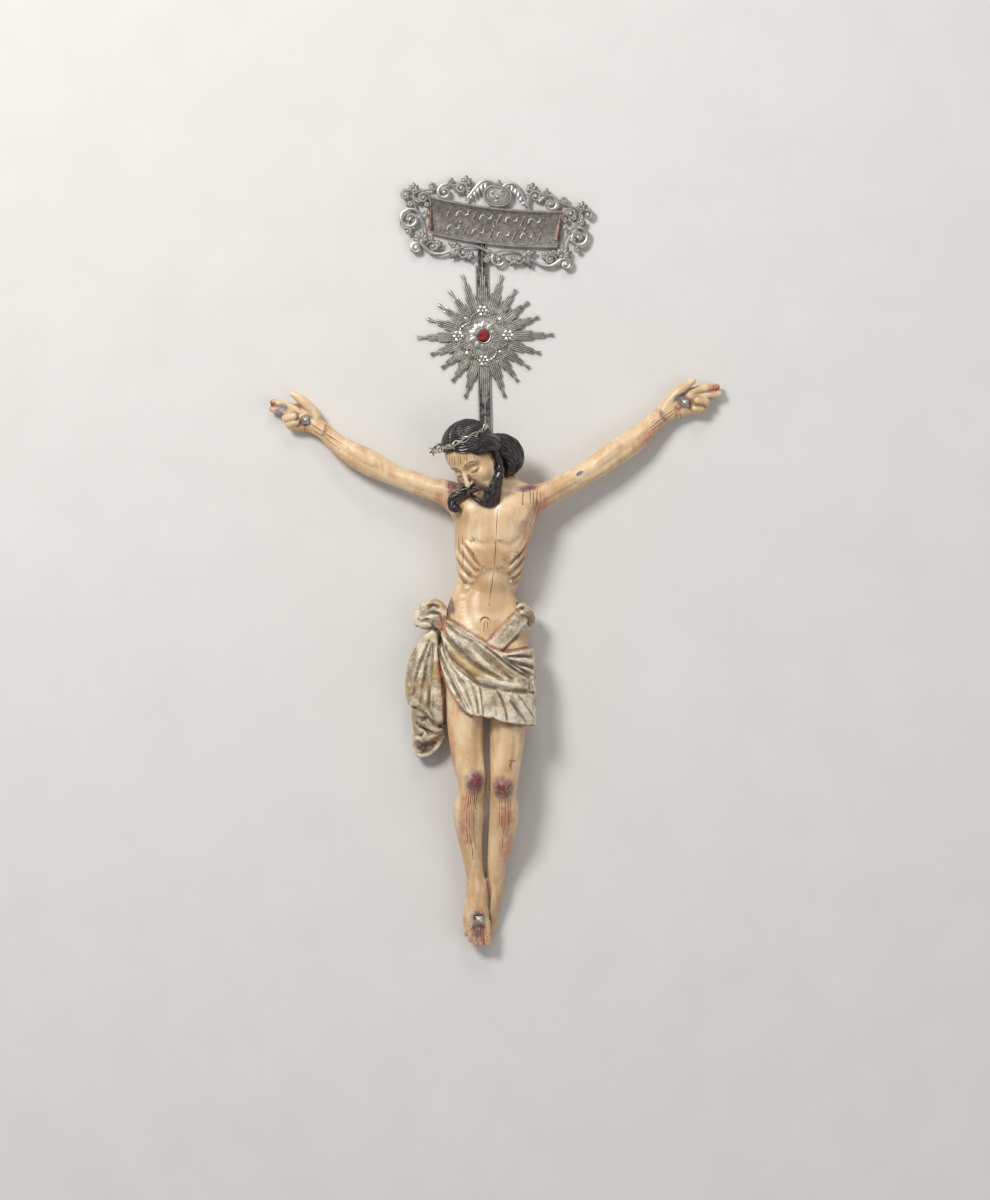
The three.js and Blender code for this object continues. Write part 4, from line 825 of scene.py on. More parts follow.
def skin_of(clay):
    """Points and four-sided faces of the surface of a block."""
    solid = clay.depth < 0
    count = np.zeros([n - 1 for n in solid.shape], np.uint8)
    for corner in itertools.product((0, 1), repeat=3):
        count += solid[tuple(slice(c, c + n) for c, n in zip(corner, count.shape))]
    cells = np.argwhere((count > 0) & (count < 8))
    del count
    number = np.full([n - 1 for n in solid.shape], -1, np.int32)
    number[tuple(cells.T)] = np.arange(len(cells))
    place = np.zeros((len(cells), 3), np.float32)
    crossed = np.zeros(len(cells), np.float32)
    for axis in range(3):
        others = [k for k in range(3) if k != axis]
        for shift in itertools.product((0, 1), repeat=2):
            near = cells.copy()
            near[:, others[0]] += shift[0]
            near[:, others[1]] += shift[1]
            far = near.copy()
            far[:, axis] += 1
            a, b = clay.depth[tuple(near.T)], clay.depth[tuple(far.T)]
            cut = (a < 0) != (b < 0)
            share = np.where(cut, a / np.where(cut, a - b, 1), 0)
            for k in range(3):
                start = clay.cuts[k][near[:, k]]
                end = clay.cuts[k][far[:, k]]
                place[:, k] += np.where(cut, start + (end - start) * share, 0)
            crossed += cut
    place /= crossed[:, None]
    faces = []
    for axis in range(3):
        b, c = [(1, 2), (2, 0), (0, 1)][axis]
        inner = [slice(1, -1)] * 3
        inner[axis] = slice(0, -1)
        ahead = list(inner)
        ahead[axis] = slice(1, None)
        inside, beyond = solid[tuple(inner)], solid[tuple(ahead)]
        for flip, found in ((False, inside & ~beyond), (True, ~inside & beyond)):
            edge = np.argwhere(found)
            edge += [0 if k == axis else 1 for k in range(3)]
            ring = []
            for db, dc in ((0, 0), (-1, 0), (-1, -1), (0, -1)):
                cell = edge.copy()
                cell[:, b] += db
                cell[:, c] += dc
                ring.append(number[tuple(cell.T)])
            ring = np.stack(ring, 1)
            faces.append(ring[:, ::-1] if flip else ring)
    return place, np.concatenate(faces)


def to_metres(points):
    """Grid steps to the part's own frame."""
    return np.asarray(points, float) * STEP + (MIDLINE, TOE_LINE, 0)


points, quads = skin_of(whole)
carving = bpy.data.meshes.new("corpus_carving")
carving.vertices.add(len(points))
carving.vertices.foreach_set("co", to_metres(points).astype(np.float32).ravel())
carving.loops.add(quads.size)
carving.loops.foreach_set("vertex_index", quads.astype(np.int32).ravel())
carving.polygons.add(len(quads))
carving.polygons.foreach_set("loop_start", np.arange(0, quads.size, 4, dtype=np.int32))
carving.update(calc_edges=True)
carving.validate()
corpus = bpy.data.objects.new("corpus_carving", carving)
bpy.context.scene.collection.objects.link(corpus)
MOST_TRIANGLES = 188000
thin = corpus.modifiers.new("Thinning", "DECIMATE")
thin.ratio = min(1, MOST_TRIANGLES / (2 * len(quads)))
thinned = bpy.data.meshes.new_from_object(corpus.evaluated_get(bpy.context.evaluated_depsgraph_get()))
corpus.modifiers.clear()
corpus.data = thinned
thinned.shade_smooth()


def read(rows, name):
    """Three numbers for each row of a layer of the mesh."""
    values = np.empty(len(rows) * 3, np.float32)
    rows.foreach_get(name, values)
    return values.reshape(-1, 3)


# Masks for the paint: what is hair, what is cloth, and how deep a point lies in a hollow, for dust and
# painted shade.
spots = (read(thinned.vertices, "co") - (MIDLINE, TOE_LINE, 0)) / STEP
facing = read(thinned.vertex_normals, "vector")


def within(block, points):
    """Distance to a block's surface, far away for points outside the block."""
    gap = block.at(points)
    for cut, p in zip(block.cuts, points.T):
        gap = np.where((p < cut[0]) | (p > cut[-1]), AIR, gap)
    return gap


to_flesh, to_hair, to_cloth = (within(block, spots) for block in (flesh, hair, cloth))
# Hollows are darkened with dust and painted shade, and ridges are lightened with wear and painted highlight.
hollow_dust_and_shade, ridge = 0, 0
for reach in (1.2, 2.5, 4.5):
    hollow_dust_and_shade = hollow_dust_and_shade + np.clip(1 - whole.at(spots + facing * reach) / reach, 0, 1) / 3
    ridge = ridge + np.clip(1 + whole.at(spots - facing * reach) / reach, 0, 1) / 3
# The wrap has no painted edge where it passes under the fall, and on the far left.
EDGE_FIRST, EDGE_LAST = -47, 56
edge = np.abs(outside((spots[:, 0], spots[:, 1]), TOP_EDGE + HEM))
edge = edge + np.clip(EDGE_FIRST - spots[:, 0], 0, 3) + np.clip(spots[:, 0] - EDGE_LAST, 0, 3)


def near(line, reach):
    """How near the skin lies to a line in the front view, from 1 on it to 0 at its reach,
    which tapers towards both ends."""
    path = smooth(line, 6)
    reaches = reach * (0.3 + 0.7 * np.sin(np.linspace(0.2, math.pi - 0.2, len(path))))
    gaps = [np.hypot(spots[:, 0] - x, spots[:, 1] - y) / r for (x, y), r in zip(path, reaches)]
    return np.clip(1 - np.min(gaps, axis=0), 0, 1)


def patches(rows):
    """Round or long patches in the front view, by x, y, half width, half height and turn."""
    cover = np.zeros(len(spots))
    for x, y, wide, high, turn in rows:
        across, along = spots[:, 0] - x, spots[:, 1] - y
        c, s = math.cos(turn), math.sin(turn)
        share = 1 - np.hypot((across * c + along * s) / wide, (along * c - across * s) / high)
        cover = np.maximum(cover, np.clip(share * 2, 0, 1))
    return cover * cover * (3 - 2 * cover)


# Wounds and bruises: x, y, half width, half height, and the turn.
WOUNDS = [
    (-25.4, 416, 2.2, 1.4, 0.5), (-10.6, 169, 8, 10, 0), (17.6, 162, 8.4, 10, 0), (-31, 464, 8, 10, 0.3),
    (43, 462, 10, 2.4, 0.1), (-8, 31, 5.6, 5, 0), (-183, 529, 6, 6.4, 0), (193, 543, 6, 5, 0.4),
    (203, 549, 5, 5, 0), (231, 563, 5, 4, 0.2), (-214, 547, 4, 6, 0),
]
BRUISES = [
    (-11, 168, 13, 16, 0), (17, 162, 13, 16, 0), (-8, 21, 8, 15, 0), (-30, 461, 12, 14, 0.3),
    (41, 461, 15, 4.8, 0.1), (-35, 344, 5, 13, 0.25), (-8, 32, 9.4, 9, 0), (-180, 530, 9, 8.4, 0),
    (199, 548, 10, 8.6, 0), (7, 448, 7, 6, 0), (-205.5, 541, 9, 8, 0), (-162, 518.6, 2.6, 9, -0.35),
    (177, 535, 2.8, 9.6, 0.56), (195, 553, 9, 5, 0.3),
]
# Flushed skin: the flanks, the armpits, the toes, the finger tips and the outer edge of the legs.
FLUSHED = [
    (-38, 402, 7, 62, 0.1), (44, 400, 8, 62, -0.12), (53, 441, 8, 24, -0.4), (41, 420, 6, 26, -0.35),
    (-44, 445, 8, 16, 0.3), (-8, 10, 18, 13, 0), (228, 562, 9, 8, 0), (-216, 540, 9, 12, 0),
    (-36, 205, 6, 50, 0.1), (-20, 130, 9, 40, 0), (22, 110, 12, 46, 0), (-160, 497, 30, 7, -0.6),
    (160, 512, 30, 7, 0.7),
]
# Dirt in specks round the nipples and along the arch of the ribs.
DIRTY = [
    (-14, 409, 4, 5, 0), (-6.2, 409.5, 3.4, 3, 0), (15.6, 408.8, 4.4, 2.6, 0), (-9, 380, 5, 3, 0.3),
    (-2.4, 380.5, 5, 2.6, 0), (14.6, 382, 6, 2.6, 0), (25, 376, 4.4, 6, 0.3), (-17.6, 377, 4, 6, 0.5),
    (26.6, 368, 4, 4.4, 0), (30.6, 395, 4, 6, 0.3), (-13, 394, 4, 9, 0.5), (20, 391, 4, 7, -0.5),
    (25, 186, 9, 6, 0.6), (-22, 366, 3, 5, 0.4),
]
# Grey-brown wear on the cloth: the band, the folds below it, the knot and the turned end.
DULLED = [
    (24, 319.5, 22, 8, 0.83), (8, 287, 30, 6, -0.72), (-24, 303, 22, 5, -0.72), (-62, 203, 13, 11, 0),
    (-74, 284, 6, 22, -0.2), (-62, 226, 12, 4, -0.3), (-58, 338, 12, 4, 0.3), (38, 268, 9, 5, -0.3),
]
# Ochre stains of old varnish on the belly and on the cloth.
STAINED = [
    (2, 394, 26, 15, 0), (0, 350, 34, 22, 0), (4, 322, 24, 12, 0), (-26, 436, 10, 14, 0.4),
    (-12, 200, 5, 34, 0), (22, 196, 9, 30, 0), (18, 284, 26, 6.5, -0.64), (-59, 266, 3.4, 30, 0.12),
    (-76, 268, 3.4, 20, 0), (-36, 283, 5, 20, 0.5), (40, 312, 8, 10, 0.8),
]
in_front = facing[:, 2] > 0
# Painted shade along each carved crease of the cloth, darker for deeper creases.
crease_shade = [near(line, width + 0.7) * -lift / 1.8 for line, width, lift in CREASES + FALL_CREASES]
masks = {
    "hair": np.clip(0.5 + (np.minimum(to_flesh, to_cloth) - to_hair) * 1.2, 0, 1),
    "cloth": np.clip(0.5 + (np.minimum(to_flesh, to_hair) - to_cloth) * 1.5, 0, 1),
    # Painted shade is added along the gaps between the ribs.
    "hollow_dust_and_shade": hollow_dust_and_shade + 0.3 * np.max([near(gap, 2.2) for gap in RIB_GAPS], axis=0) * in_front,
    "groove": np.max(crease_shade, axis=0),
    "dulled": patches(DULLED),
    "ridge": ridge,
    "edge": np.clip(1 - edge / 2.4, 0, 1),
    "wounded": patches(WOUNDS) * in_front,
    "bruised": patches(BRUISES) * in_front,
    "flushed": patches(FLUSHED),
    "dirty": patches(DIRTY) * in_front,
    "stained": patches(STAINED),
}
for name, values in masks.items():
    layer = thinned.attributes.new(name, "FLOAT", "POINT")
    layer.data.foreach_set("value", values.astype(np.float32))


# Paint on the figure
# The wood was primed with gesso and painted in oil: ivory flesh with blood and bruises, hair in
# brown and black, and a cream cloth with red edges, darkened in the hollows by dust and painted shade.
class Shade:
    """A value or colour of a material, with sums and products written as in arithmetic."""

    def __init__(self, tree, socket=None):
        self.tree, self.socket = tree, socket

    def node(self, kind, sockets=(), out=0, **settings):
        """Another node of this material, with its settings and what its sockets get."""
        made = self.tree.nodes.new("ShaderNode" + kind)
        for name, value in settings.items():
            setattr(made, name, value)
        feed(self.tree, made, sockets)
        return Shade(self.tree, made.outputs[out])

    def maths(self, operation, *values):
        """A step of arithmetic on values or shades."""
        return self.node("Math", dict(enumerate(values)), operation=operation)

    def __add__(self, other):
        return self.maths("ADD", self, other)

    def __sub__(self, other):
        return self.maths("SUBTRACT", self, other)

    def __rsub__(self, other):
        return self.maths("SUBTRACT", other, self)

    def __mul__(self, other):
        return self.maths("MULTIPLY", self, other)

    __radd__, __rmul__ = __add__, __mul__

    def over(self, edge, soft):
        """1 above the edge and 0 below it, with a soft step between."""
        limits = {"Value": self, "From Min": edge - soft, "From Max": edge + soft}
        return self.node("MapRange", limits, interpolation_type="SMOOTHSTEP")

    def blend(self, below, above):
        """One colour under another, which covers it by this share."""
        return self.node("Mix", {0: self, 6: below, 7: above}, out=2, data_type="RGBA")

    def noise(self, size, detail=3, rough=0.6, stretch=(1, 1, 1), out=0):
        """Cloudy values round 0.5 at this place, with patches of about this size."""
        sockets = {"Vector": self, "Scale": tuple(1 / s for s in stretch)}
        place = self if stretch == (1, 1, 1) else self.node("Mapping", sockets)
        return self.node("TexNoise", {"Vector": place, "Scale": 0.8 / size, "Detail": detail,
                                      "Roughness": rough}, out)

    def spot(self, x, y, wide, high, turn=0.0, soft=0.15):
        """A round or long spot in the front view, by its middle, half sizes and turn."""
        sockets = {"Vector": self, "Location": (x, y, 0), "Rotation": (0, 0, turn),
                   "Scale": (wide, high, 1e6)}
        inside = self.node("Mapping", sockets, vector_type="TEXTURE")
        return self.node("TexGradient", {"Vector": inside}, "Fac", gradient_type="SPHERICAL").over(soft, soft)

    def line(self, points, half_width, soft=0.25):
        """A painted line in the front view, a little thinner where two stretches meet."""
        return most(
            self.spot((ax + bx) / 2, (ay + by) / 2, math.hypot(bx - ax, by - ay) * 0.6 + half_width,
                      half_width, math.atan2(by - ay, bx - ax), soft)
            for (ax, ay), (bx, by) in zip(points, points[1:])
        )


def paint(red, green, blue):
    """A colour of 0 to 255 as the light it gives back."""
    return tuple(((c / 255 + 0.055) / 1.055) ** 2.4 for c in (red, green, blue)) + (1,)


def coating(name):
    """A new material, its shader, and the place on the figure in grid steps."""
    material = bpy.data.materials.new(name)
    material.use_nodes = True
    tree = material.node_tree
    place = Shade(tree).node("TexCoord", out="Object")
    sockets = {"Vector": place, "Location": (MIDLINE, TOE_LINE, 0), "Scale": (STEP,) * 3}
    return material, tree.nodes["Principled BSDF"], place.node("Mapping", sockets, vector_type="TEXTURE")


def feed(tree, node, sockets):
    """Gives the sockets of a node their values, or links the shades to them."""
    for name, value in dict(sockets).items():
        if isinstance(value, Shade):
            tree.links.new(value.socket, node.inputs[name])
        else:
            node.inputs[name].default_value = value


def most(covers):
    """The highest of some covers, each taken in as soon as it is made."""
    highest = None
    for cover in covers:
        highest = cover if highest is None else cover.maths("MAXIMUM", highest, cover)
    return highest


# Blood runs down from the wounds: x and y of each turn of a line, and its half width.
BLOOD = [
    ([(16, 474), (14, 456), (11.4, 440), (10.2, 413), (8.2, 382), (3, 345)], 0.65),
    ([(37, 461), (36.6, 445)], 0.69), ([(44, 462), (44.4, 446)], 0.6), ([(47.4, 461), (47, 441)], 0.69),
    ([(51.4, 461), (50.4, 446)], 0.6), ([(54, 458), (55, 447)], 0.52),
    ([(-24.4, 414), (-22.6, 400), (-23, 384)], 0.69), ([(-27.4, 414), (-27, 396)], 0.52),
    ([(-1.4, 329), (-2.2, 319)], 0.52), ([(1.2, 329), (1.6, 322)], 0.52),
    ([(-16, 161), (-19, 140), (-19.2, 124), (-18.4, 108)], 0.55),
    ([(-14, 161), (-16.6, 142), (-17, 118), (-14, 103), (-13, 91)], 0.6),
    ([(-11, 161), (-12.4, 142), (-11.8, 116), (-10.2, 101)], 0.55),
    ([(-8, 161), (-10, 148), (-10.4, 141)], 0.45),
    ([(-18, 160), (-20.6, 148), (-21.2, 140)], 0.45), ([(-12.6, 160), (-14.4, 146), (-14, 132)], 0.4),
    ([(14, 153), (13.6, 140), (13.4, 126)], 0.5), ([(16, 153), (15.8, 138), (15.6, 119)], 0.5),
    ([(19.4, 153), (19, 130), (17, 114), (16.6, 102)], 0.55), ([(22, 153), (22.4, 140), (22.6, 126)], 0.5),
    ([(24.6, 152), (24.4, 142), (23.8, 134)], 0.4),
    ([(-9, 26), (-14, 14)], 0.6), ([(-8, 25), (-9.6, 8)], 0.6), ([(-6, 25), (-4.6, 8)], 0.6),
    ([(-5, 26), (1, 12)], 0.6),
    ([(-176, 526.7), (-163.7, 518.3), (-138.4, 501.9)], 0.65),
    ([(-173, 519), (-162, 513), (-147, 501)], 0.52),
    ([(-181, 526), (-183, 516)], 0.6), ([(-33, 470), (-33.6, 457)], 0.52), ([(-37, 468), (-37.6, 458)], 0.52),
    ([(188.6, 540.4), (177, 532.4), (165.4, 522.5)], 0.65),
    ([(189.5, 537.7), (176, 527.9), (163.6, 517.2)], 0.6),
    ([(190.6, 538.6), (191, 532)], 0.52), ([(195, 537), (195.6, 532)], 0.52),
    ([(52, 452), (48, 436), (44, 424)], 0.52), ([(55, 448), (51, 434)], 0.43),
    ([(-32, 436), (-33, 420), (-31, 404)], 0.47), ([(-29, 388), (-31, 372)], 0.43),
    ([(37, 384), (34.6, 366)], 0.43),
    ([(-3, 24), (4, 13)], 0.43), ([(-11, 24), (-17, 17)], 0.43),
]
# Small drops from the crown, on the brow: x and the length of each, under the hairline.
BROW_DROPS = [
    (-39, 5), (-36.4, 9), (-34, 7), (-31.6, 11), (-28, 6), (-25.6, 9), (-22, 5), (-19.4, 8), (-12, 5),
]

material, shader, place = coating("Painted wood")
masked = {name: place.node("Attribute", out="Fac", attribute_name=name) for name in masks}
facing_up = place.node("SeparateXYZ", {0: place.node("NewGeometry", out="Normal")}, "Z").over(0.1, 0.15)
# Blood lines waver a little: their place is moved by up to about a grid step.
WANDER = 1.4
wander = place.node("VectorMath", {0: place.noise(9, 3, out="Color"), 1: (0.5,) * 3}, operation="SUBTRACT")
wander = place.node("VectorMath", {0: wander, "Scale": WANDER}, operation="SCALE")
ruled = place.node("Mapping", {"Vector": place.node("VectorMath", {0: place, 1: wander}, operation="ADD")})
speckle, blotches = place.noise(1.5, 2, 0.7), place.noise(34, 5)
streaks = place.noise(7, 4, 0.65, (1, 5, 2))
grime = place.noise(16, 5, 0.72)

flesh_paint = blotches.over(0.5, 0.16).blend(paint(227, 196, 153), paint(202, 162, 114))
flesh_paint = (streaks.over(0.56, 0.12) * 0.55).blend(flesh_paint, paint(238, 217, 184))
flesh_paint = (grime.over(0.6, 0.1) * 0.45).blend(flesh_paint, paint(196, 132, 96))
# Wear and painted highlight lighten the flesh on its ridges.
flesh_paint = (masked["ridge"].over(0.22, 0.2) * 0.6).blend(flesh_paint, paint(243, 222, 188))
# Dust and painted shade darken the flesh in its hollows.
flesh_paint = (masked["hollow_dust_and_shade"].over(0.2, 0.14) * 0.75).blend(
    flesh_paint, grime.over(0.5, 0.1).blend(paint(136, 98, 60), paint(98, 68, 42))
)
# Painted shade: a dark crescent over the upper edge of the navel.
navel_shade = place.spot(-1, 328.6, 5.6, 4.8, 0, 0.1) * (1 - place.spot(-0.8, 327.2, 4.7, 4.8, 0, 0.1))
flesh_paint = (navel_shade * facing_up * 0.85).blend(flesh_paint, paint(66, 40, 26))
lips = most(place.spot(*on_head([(0, y, 27)])[0][:2], 6.2, 1.7, 0.3) for y in (-19.2, -22.6))
flesh_paint = (lips * 0.7).blend(flesh_paint, paint(176, 92, 74))
BROW = [(3.6, 6.6, 26), (9, 8.8, 24.4), (15.6, 6.6, 20)]
brows = most(place.line([p[:2] for p in on_head(side)], 0.8) for side in both(BROW))
flesh_paint = (brows * facing_up * 0.85).blend(flesh_paint, paint(74, 46, 30))
stained = masked["stained"] * streaks.over(0.42, 0.14)
flesh_paint = (stained * 0.62).blend(flesh_paint, paint(188, 149, 98))
dirty = masked["dirty"] * place.noise(2.6, 4, 0.75).over(0.52, 0.08)
flesh_paint = (dirty * 0.8).blend(flesh_paint, paint(106, 76, 48))
flushed = masked["flushed"] * place.noise(8, 4, 0.75, (1, 2.4, 1)).over(0.45, 0.14)
flesh_paint = (flushed * 0.6).blend(flesh_paint, paint(190, 112, 90))
bruised = masked["bruised"] * place.noise(6, 4, 0.7).over(0.4, 0.16)
flesh_paint = (bruised * 0.85).blend(
    flesh_paint, blotches.over(0.5, 0.1).blend(paint(96, 97, 112), paint(98, 70, 78))
)
wounded = masked["wounded"] * place.noise(3.4, 4, 0.75).over(0.44, 0.12)
flesh_paint = (wounded * 0.85).blend(
    flesh_paint, speckle.over(0.5, 0.14).blend(paint(150, 56, 50), paint(96, 30, 34))
)
runs = most(ruled.line(points, half) for points, half in BLOOD)
drops = most(place.line([(x, 493.5), (x + 0.6, 493.5 - length)], 0.45) for x, length in BROW_DROPS)
neck = place.line([(15.6, 486), (15.4, 470), (13.6, 452), (11.2, 437)], 1.5)
ends = most(ruled.spot(*points[-1], half * 1.25, half * 2, soft=0.25) for points, half in BLOOD)
blood = most((runs, drops, ends, neck)) * facing_up
flesh_paint = (blood * 0.84).blend(
    flesh_paint, grime.over(0.5, 0.14).blend(paint(160, 54, 42), paint(98, 30, 28))
)
lost = place.spot(93.7, 476.2, 4.4, 2.2, 0.5, 0.08) * facing_up
flesh_paint = lost.blend(
    flesh_paint, speckle.over(0.5, 0.1).blend(paint(150, 150, 158), paint(96, 98, 108))
)
flesh_paint = (speckle.over(0.67, 0.04) * grime.over(0.5, 0.08) * 0.6).blend(flesh_paint, paint(88, 58, 38))

aged = place.noise(20, 4, 0.6, (1.6, 1, 1)).over(0.53, 0.09)
cloth_paint = aged.blend(paint(228, 214, 186), paint(176, 142, 92))
cloth_paint = (place.noise(9, 4, 0.7).over(0.56, 0.08) * 0.7).blend(cloth_paint, paint(138, 120, 102))
cloth_paint = (stained * 0.8).blend(cloth_paint, paint(160, 128, 76))
# Wear and painted highlight lighten the cloth on its ridges.
cloth_paint = (masked["ridge"].over(0.22, 0.18) * 0.7).blend(cloth_paint, paint(240, 230, 208))
# Dust and painted shade darken the cloth in its hollows.
cloth_paint = (masked["hollow_dust_and_shade"].over(0.18, 0.13) * 0.75).blend(
    cloth_paint, grime.over(0.5, 0.1).blend(paint(132, 102, 62), paint(78, 62, 46))
)
dulled = masked["dulled"] * place.noise(5, 4, 0.75).over(0.43, 0.12)
cloth_paint = (dulled * 0.75).blend(
    cloth_paint, speckle.over(0.5, 0.12).blend(paint(150, 130, 108), paint(104, 88, 70))
)
# Painted shade in the creases of the cloth.
groove = masked["groove"].over(0.35, 0.3) * grime.over(0.42, 0.2)
cloth_paint = (groove * 0.85).blend(cloth_paint, paint(80, 64, 50))
red_edge = most((
    masked["edge"].over(0.45, 0.25), place.line([(0.8, 306), (34, 340.5)], 1.5),
    place.spot(-44, 324, 5, 12, 0.3, 0.4), place.spot(-42, 270, 3, 17, 0.25, 0.4),
))
cloth_paint = (red_edge * place.noise(5, 3).over(0.45, 0.14) * 0.7).blend(cloth_paint, paint(186, 84, 62))
cloth_paint = (speckle.over(0.62, 0.09) * 0.42).blend(cloth_paint, paint(116, 92, 62))

strands = place.noise(1.1, 2, 0.5)
hair_paint = streaks.over(0.5, 0.2).blend(paint(36, 28, 26), paint(50, 40, 36))
# Painted highlight in bluish grey on the ridges of the hair.
hair_paint = (masked["ridge"].over(0.32, 0.22) * 0.6).blend(hair_paint, paint(78, 75, 80))
# Painted shade, almost black, in the hollows between the locks.
hair_paint = (masked["hollow_dust_and_shade"].over(0.15, 0.12) * 0.9).blend(hair_paint, paint(14, 10, 9))
hair_paint = (place.noise(5, 4, 0.75).over(0.68, 0.03) * 0.7).blend(hair_paint, paint(122, 82, 52))

colour = masked["cloth"].blend(masked["hair"].blend(flesh_paint, hair_paint), cloth_paint)
SKIN_ROUGH, BLOOD_ROUGH, HAIR_ROUGH, CLOTH_ROUGH = ((v, v, v, 1) for v in (0.42, 0.24, 0.3, 0.56))
gloss = masked["hair"].blend(blood.blend(SKIN_ROUGH, BLOOD_ROUGH), HAIR_ROUGH)
gloss = masked["cloth"].blend(gloss, CLOTH_ROUGH)
height = speckle * 0.7 + strands * masked["hair"]
feed(place.tree, shader, {
    "Base Color": colour,
    "Roughness": place.node("SeparateColor", {0: gloss}) + (grime - 0.5) * 0.4,
    "Coat Weight": 0.12,
    "Coat Roughness": 0.25,
    "Normal": place.node("Bump", {"Strength": 0.35, "Distance": 0.00012, "Height": height}),
})
thinned.materials.clear()
thinned.materials.append(material)
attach(corpus, "root")
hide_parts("corpus")

# Crown of thorns
# Three silver wires, plaited loosely and pressed into the hair, with thorns wound in between
# and a copper-coloured knot over the right temple where the ends meet.
class Shell:
    """Closed skins that make one piece, in metres."""

    def __init__(self):
        self.points, self.faces, self.tones = [], [], []

    def loft(self, rings, tone=1.0, ends=True):
        """A skin over rings of points, with its ends closed or joined to each other."""
        start, n = len(self.points), len(rings[0])
        for ring in rings:
            self.points.extend(tuple(map(float, p)) for p in ring)
        self.tones.extend([tone] * (n * len(rings)))
        for i in range(len(rings) - ends):
            for j in range(n):
                a, b = start + i * n, start + (i + 1) % len(rings) * n
                self.faces.append((a + j, a + (j + 1) % n, b + (j + 1) % n, b + j))
        if ends:
            self.faces.append(tuple(range(start, start + n))[::-1])
            self.faces.append(tuple(range(start + n * (len(rings) - 1), start + n * len(rings))))

    def rod(self, path, across, upward=None, sides=8, up=(0, 0, 1), tone=1.0, ends=True):
        """A rod along a path, with its half width across and its half height upwards."""
        path = np.array(path, float)
        wide = np.broadcast_to(across, len(path))
        high = np.broadcast_to(across if upward is None else upward, len(path))
        if ends:
            along = np.gradient(path, axis=0)
        else:
            along = np.roll(path, -1, 0) - np.roll(path, 1, 0)
        along = along / np.linalg.norm(along, axis=1)[:, None]
        side = np.cross(along, np.broadcast_to(up, path.shape))
        side = side / np.linalg.norm(side, axis=1)[:, None]
        out = np.cross(side, along)
        turn = np.arange(sides) * 2 * math.pi / sides + math.pi / sides * (sides != 4)
        rings = [
            p + np.outer(np.cos(turn) * w, s) + np.outer(np.sin(turn) * h, o)
            for p, s, o, w, h in zip(path, side, out, wide, high)
        ]
        self.loft(rings, tone, ends)

    def blade(self, start, end, half_width, height, sides=4, tone=1.0, fullness=0.6):
        """A leaf, petal or thorn: wide in the middle, with a ridge, and pointed at the end."""
        t = np.array([0.02, 0.15, 0.35, 0.55, 0.75, 0.9, 0.99])
        form = np.sin(math.pi * t**fullness) ** 0.8 + 0.04
        path = np.array(start, float) + np.outer(t, np.array(end, float) - np.array(start, float))
        self.rod(path, half_width * form, height * form, sides, tone=tone)

    def turned(self, middle, profile, sides=24, tone=1.0, ends=True, first=0.0):
        """A lathe form about an upright axis, from a profile of radius and height."""
        turn = np.arange(sides) * 2 * math.pi / sides + first
        ring = np.stack([np.cos(turn), np.sin(turn), 0 * turn], 1)
        rings = [np.array(middle) + ring * r + (0, 0, z) for r, z in profile]
        self.loft(rings, tone, ends)

    def bead(self, middle, radius, height, sides=10, tone=1.0):
        """A round bead, flattened where its height is less than its radius."""
        lean = np.linspace(-1.45, 1.45, 7)
        self.turned(middle, [(radius * math.cos(a), height * math.sin(a)) for a in lean], sides, tone)

    def piece(self, name, node, material, place=Matrix.Identity(4), crease=38):
        """Makes the mesh and puts it in the scene in place of the plain solid."""
        mesh = bpy.data.meshes.new(name)
        mesh.from_pydata(self.points, [], self.faces)
        mesh.transform(place)
        work = bmesh.new()
        work.from_mesh(mesh)
        bmesh.ops.recalc_face_normals(work, faces=work.faces)
        work.to_mesh(mesh)
        work.free()
        mesh.attributes.new("tone", "FLOAT", "POINT").data.foreach_set("value", self.tones)
        mesh.shade_smooth()
        mesh.set_sharp_from_angle(angle=math.radians(crease))
        mesh.materials.append(material)
        made = bpy.data.objects.new(name, mesh)
        bpy.context.scene.collection.objects.link(made)
        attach(made, "root")
        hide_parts(node)


COPPER = 2.0


def silver(name, bright, dark, rough, low, high):
    """Old silver: worn bright on what stands up, black in what lies between these heights."""
    material, shader, place = coating(name)
    level = place.node("SeparateXYZ", {0: place}, "Z") * STEP
    raised = level.node("MapRange", {"Value": level, "From Min": low, "From Max": high})
    raised = raised + (place.noise(3, 4, 0.7) - 0.5) * 0.7
    tone = place.node("Attribute", out="Fac", attribute_name="tone")
    worn = (raised * tone).over(0.42, 0.3)
    colour = worn.blend(dark, place.noise(5, 4).over(0.5, 0.2).blend(bright, paint(172, 166, 154)))
    colour = (place.noise(1.3, 3, 0.7).over(0.66, 0.06) * 0.55).blend(colour, paint(52, 47, 43))
    copper = tone.over(COPPER - 0.5, 0.1)
    reddish = place.noise(2.5, 4).over(0.5, 0.16).blend(paint(132, 106, 94), paint(92, 78, 72))
    feed(place.tree, shader, {
        "Base Color": copper.blend(colour, reddish),
        "Metallic": 0.96,
        "Roughness": rough + (1 - worn) * 0.22 + place.noise(2, 3) * 0.24 - 0.04,
        "Normal": place.node("Bump", {"Strength": 0.5, "Distance": 0.00012,
                                      "Height": place.noise(1.2, 4, 0.7)}),
    })
    return material


WIRE_RADIUS = 0.0004
PLAITS = (9, 9, 5)
PLAIT_WIDTH = 0.00115
PLAIT_DEPTH = 0.00045
KNOT_TURN = -0.235
KNOT_RADIUS = 0.0011
crown = Shell()
chance = np.random.default_rng(5)


def on_crown(turn, out=0.0, up=0.0):
    """A point of the ring round the head, in metres."""
    return to_metres(crown_point(turn, out / STEP, up / STEP))


